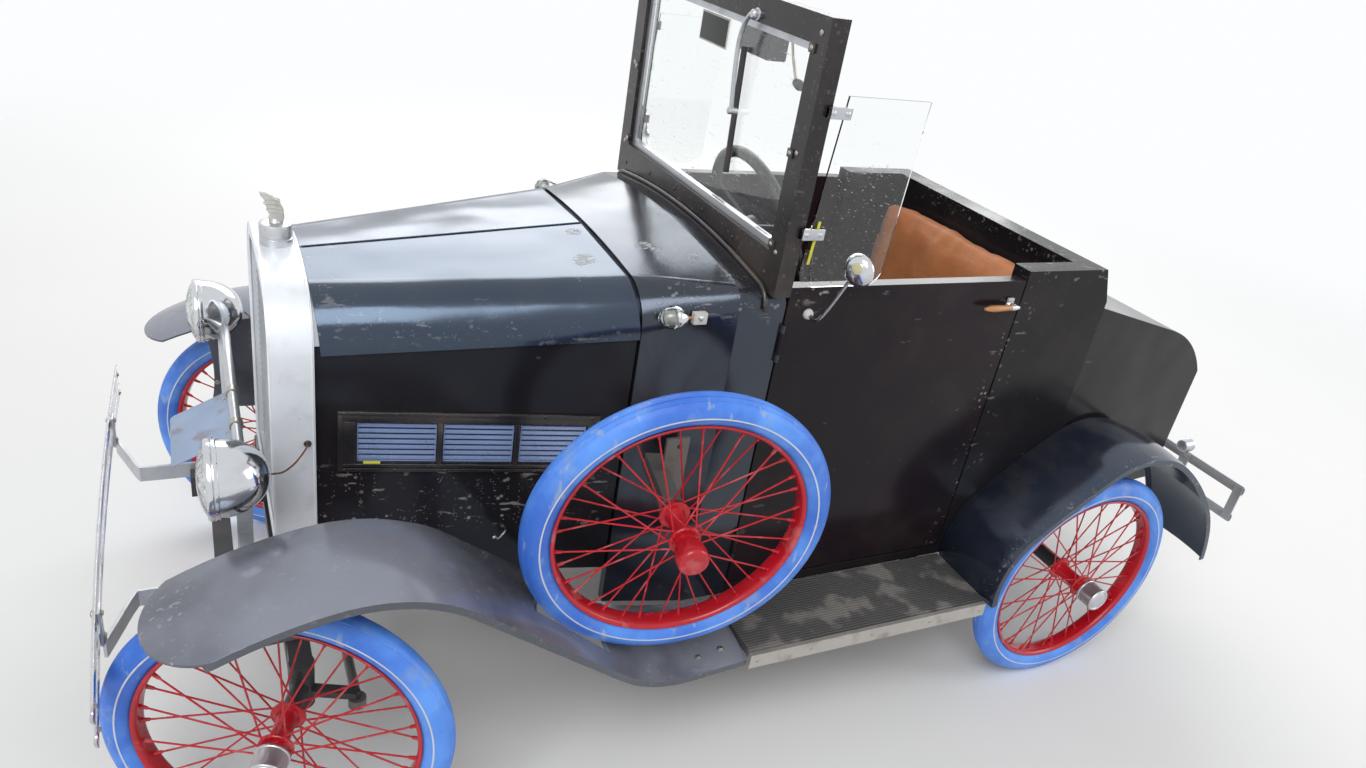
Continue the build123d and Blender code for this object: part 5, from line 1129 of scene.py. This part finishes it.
piece = Piece()
for side in (-1, 1):
    for x, across, radius in ((251, 74, 4.5), (300, 78, 4.0), (251, -30, 4.5), (316, -26, 4.0)):
        y = 378 + 0.075 * (x - 211) + across
        piece.bolt((x, side * y, 260.2 - 16 * (across / 108) ** 2), up, radius)
    for x in (-330, -200, -60, 80, 196):
        piece.bolt((x, side * 497.2, 248), (0, side, 0), 2.4, 0, False)
    for x in (846, 1026):
        for z in (382, 452):
            piece.bolt((x, side * 302.3, z), (0, side, 0), 3.2)
piece.finish("fender_bolts", "body", "dark_metal", [bolt_metal])

# Seat: a crowned cushion and a padded back in tan leathercloth
pad_half = 268
pad_columns = 26
pad_swell = 12
stuffing_frames = 20
cushion_section = ((-486, 360), (-92, 360), (-92, 440), (-104, 462), (-280, 470), (-486, 466))
back_section = (
    (-488, 490), (-412, 490), (-418, 560), (-432, 700), (-446, 820), (-454, 868), (-466, 876), (-488, 872),
)


def apply_all(piece):
    """The mesh as its modifiers leave it, with no modifier kept."""
    view = bpy.context.evaluated_depsgraph_get()
    view.update()
    made = bpy.data.meshes.new_from_object(piece.evaluated_get(view))
    old = piece.data
    piece.modifiers.clear()
    piece.data = made
    bpy.data.meshes.remove(old)


def soft_block(name, section, fold_depth, crease_depth):
    """A closed pad across the car, swollen by simulated stuffing and lightly creased."""
    middle_x = sum(x for x, z in section) / len(section)
    middle_z = sum(z for x, z in section) / len(section)
    rings = []
    for column in range(pad_columns + 1):
        share = column / pad_columns * 2 - 1
        ease = 1 - 0.10 * abs(share) ** 6
        ring = [(middle_x + (x - middle_x) * ease, middle_z + (z - middle_z) * ease) for x, z in section]
        rings.append([(x, share * pad_half, z) for x, z in ring])
    block = Piece()
    block.rows(rings, around=True, ends=True)
    piece = link(name, block.mesh(name))
    remesh = piece.modifiers.new("even", "REMESH")
    remesh.mode = "VOXEL"
    remesh.voxel_size = 0.0075
    apply_all(piece)
    before = [vert.co.copy() for vert in piece.data.vertices]
    cloth = piece.modifiers.new("stuffing", "CLOTH")
    cloth.settings.use_pressure = True
    cloth.settings.uniform_pressure_force = 4.0
    cloth.settings.effector_weights.gravity = 0.0
    cloth.point_cache.frame_start = 1
    cloth.point_cache.frame_end = stuffing_frames
    for frame_number in range(1, stuffing_frames + 1):
        bpy.context.scene.frame_set(frame_number)
    apply_all(piece)
    bpy.context.scene.frame_set(1)
    for vert, start in zip(piece.data.vertices, before):
        move = vert.co - start
        if move.length > pad_swell * millimetre:
            vert.co = start + move.normalized() * pad_swell * millimetre
    smooth = piece.modifiers.new("smooth", "SMOOTH")
    smooth.factor = 0.5
    smooth.iterations = 6
    finer = piece.modifiers.new("finer", "SUBSURF")
    finer.levels = 1
    finer.render_levels = 1
    apply_all(piece)
    normals = [vert.normal.copy() for vert in piece.data.vertices]
    for vert, normal in zip(piece.data.vertices, normals):
        x, y, z = vert.co / millimetre
        fold = noise.noise(Vector((x * 0.006, y * 0.017, z * 0.005))) * fold_depth
        crease = noise.noise(Vector((x * 0.02, y * 0.045, z * 0.012))) * crease_depth
        vert.co += normal * (fold + crease) * millimetre
    return piece


cushion = soft_block("seat_cushion", cushion_section, 3.0, 1.2)
seat_back = soft_block("seat_back", back_section, 5.0, 2.0)
for piece in (cushion, seat_back):
    piece.data.materials.clear()
    piece.data.materials.append(seat_hide)
    piece.data.shade_smooth()
    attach(piece, "body")
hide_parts("seat")

# Stage: pale floor, soft lights, white surroundings
floor_half = 60.0
floor_corners = [(x * floor_half, y * floor_half, 0) for x, y in ((-1, -1), (1, -1), (1, 1), (-1, 1))]
floor_mesh = bpy.data.meshes.new("floor")
floor_mesh.from_pydata(floor_corners, [], [(0, 1, 2, 3)])
floor = link("floor", floor_mesh)
paving = Finish("pale_floor")
paving.done(paving.mix(paving.noise(1.5, 4), (0.76, 0.76, 0.75), (0.80, 0.80, 0.79)), 0.75)
away = paving.node("ShaderNodeVectorMath", paving.place, operation="LENGTH").outputs["Value"]
fade = paving.node("ShaderNodeMixShader", paving.between(away, 2.2, 5.5))
paving.feed(fade.inputs[1], paving.shader.outputs[0])
paving.feed(fade.inputs[2], paving.node("ShaderNodeBsdfTransparent").outputs[0])
paving.feed(paving.tree.nodes["Material Output"].inputs["Surface"], fade.outputs[0])
floor_mesh.materials.append(paving.material)

world = bpy.data.worlds.new("soft_white")
bpy.context.scene.world = world
world.use_nodes = True
tree = world.node_tree
background = tree.nodes["Background"]
background.inputs["Color"].default_value = (0.97, 0.985, 1.0, 1.0)
path = tree.nodes.new("ShaderNodeLightPath")
seen = path.outputs["Is Camera Ray"]
for ray in ("Is Glossy Ray", "Is Transmission Ray"):
    either = tree.nodes.new("ShaderNodeMath")
    either.operation = "MAXIMUM"
    tree.links.new(seen, either.inputs[0])
    tree.links.new(path.outputs[ray], either.inputs[1])
    seen = either.outputs[0]
strength = tree.nodes.new("ShaderNodeMapRange")
strength.inputs["To Min"].default_value = 0.45
strength.inputs["To Max"].default_value = 1.0
tree.links.new(seen, strength.inputs["Value"])
tree.links.new(strength.outputs[0], background.inputs["Strength"])

lamps = (  # name, place, aim, size, power in watts
    ("key", (2.8, 3.2, 4.4), (0.1, 0.1, 0.4), (3.2, 3.2), 190.0),
    ("sheen", (-1.8, -4.8, 3.8), (0.2, 0.0, 0.6), (6.5, 3.2), 260.0),
    ("rear", (-4.2, 2.2, 2.6), (-0.4, 0.0, 0.5), (2.4, 2.4), 60.0),
)
for name, spot, aim, size, power in lamps:
    lamp = bpy.data.lights.new(name, "AREA")
    lamp.shape = "RECTANGLE"
    lamp.size, lamp.size_y = size
    lamp.energy = power
    holder = link(name, lamp)
    holder.location = spot
    holder.rotation_euler = (Vector(aim) - Vector(spot)).to_track_quat("-Z", "Y").to_euler()

# Camera at the photograph's place
azimuth = -0.519
elevation = -0.4707
roll = 0.1756
focal_length = 970.96  # pixels of a picture as wide as below
picture_width = 1366
forward = Vector((sin(azimuth) * cos(elevation), -cos(azimuth) * cos(elevation), sin(elevation)))
level_right = forward.cross(up).normalized()
level_up = level_right.cross(forward)
camera_right = level_right * cos(roll) + level_up * sin(roll)
camera_up = level_up * cos(roll) - level_right * sin(roll)
view = Matrix((camera_right, camera_up, -forward)).transposed().to_4x4()
view.translation = Vector((1.0519, 1.555, 1.4544))
lens = bpy.data.cameras.new("photo_camera")
lens.sensor_width = 36.0
lens.lens = focal_length / picture_width * lens.sensor_width
camera = link("photo_camera", lens)
camera.matrix_world = view
bpy.context.scene.camera = camera
bpy.context.scene.view_settings.view_transform = "Standard"
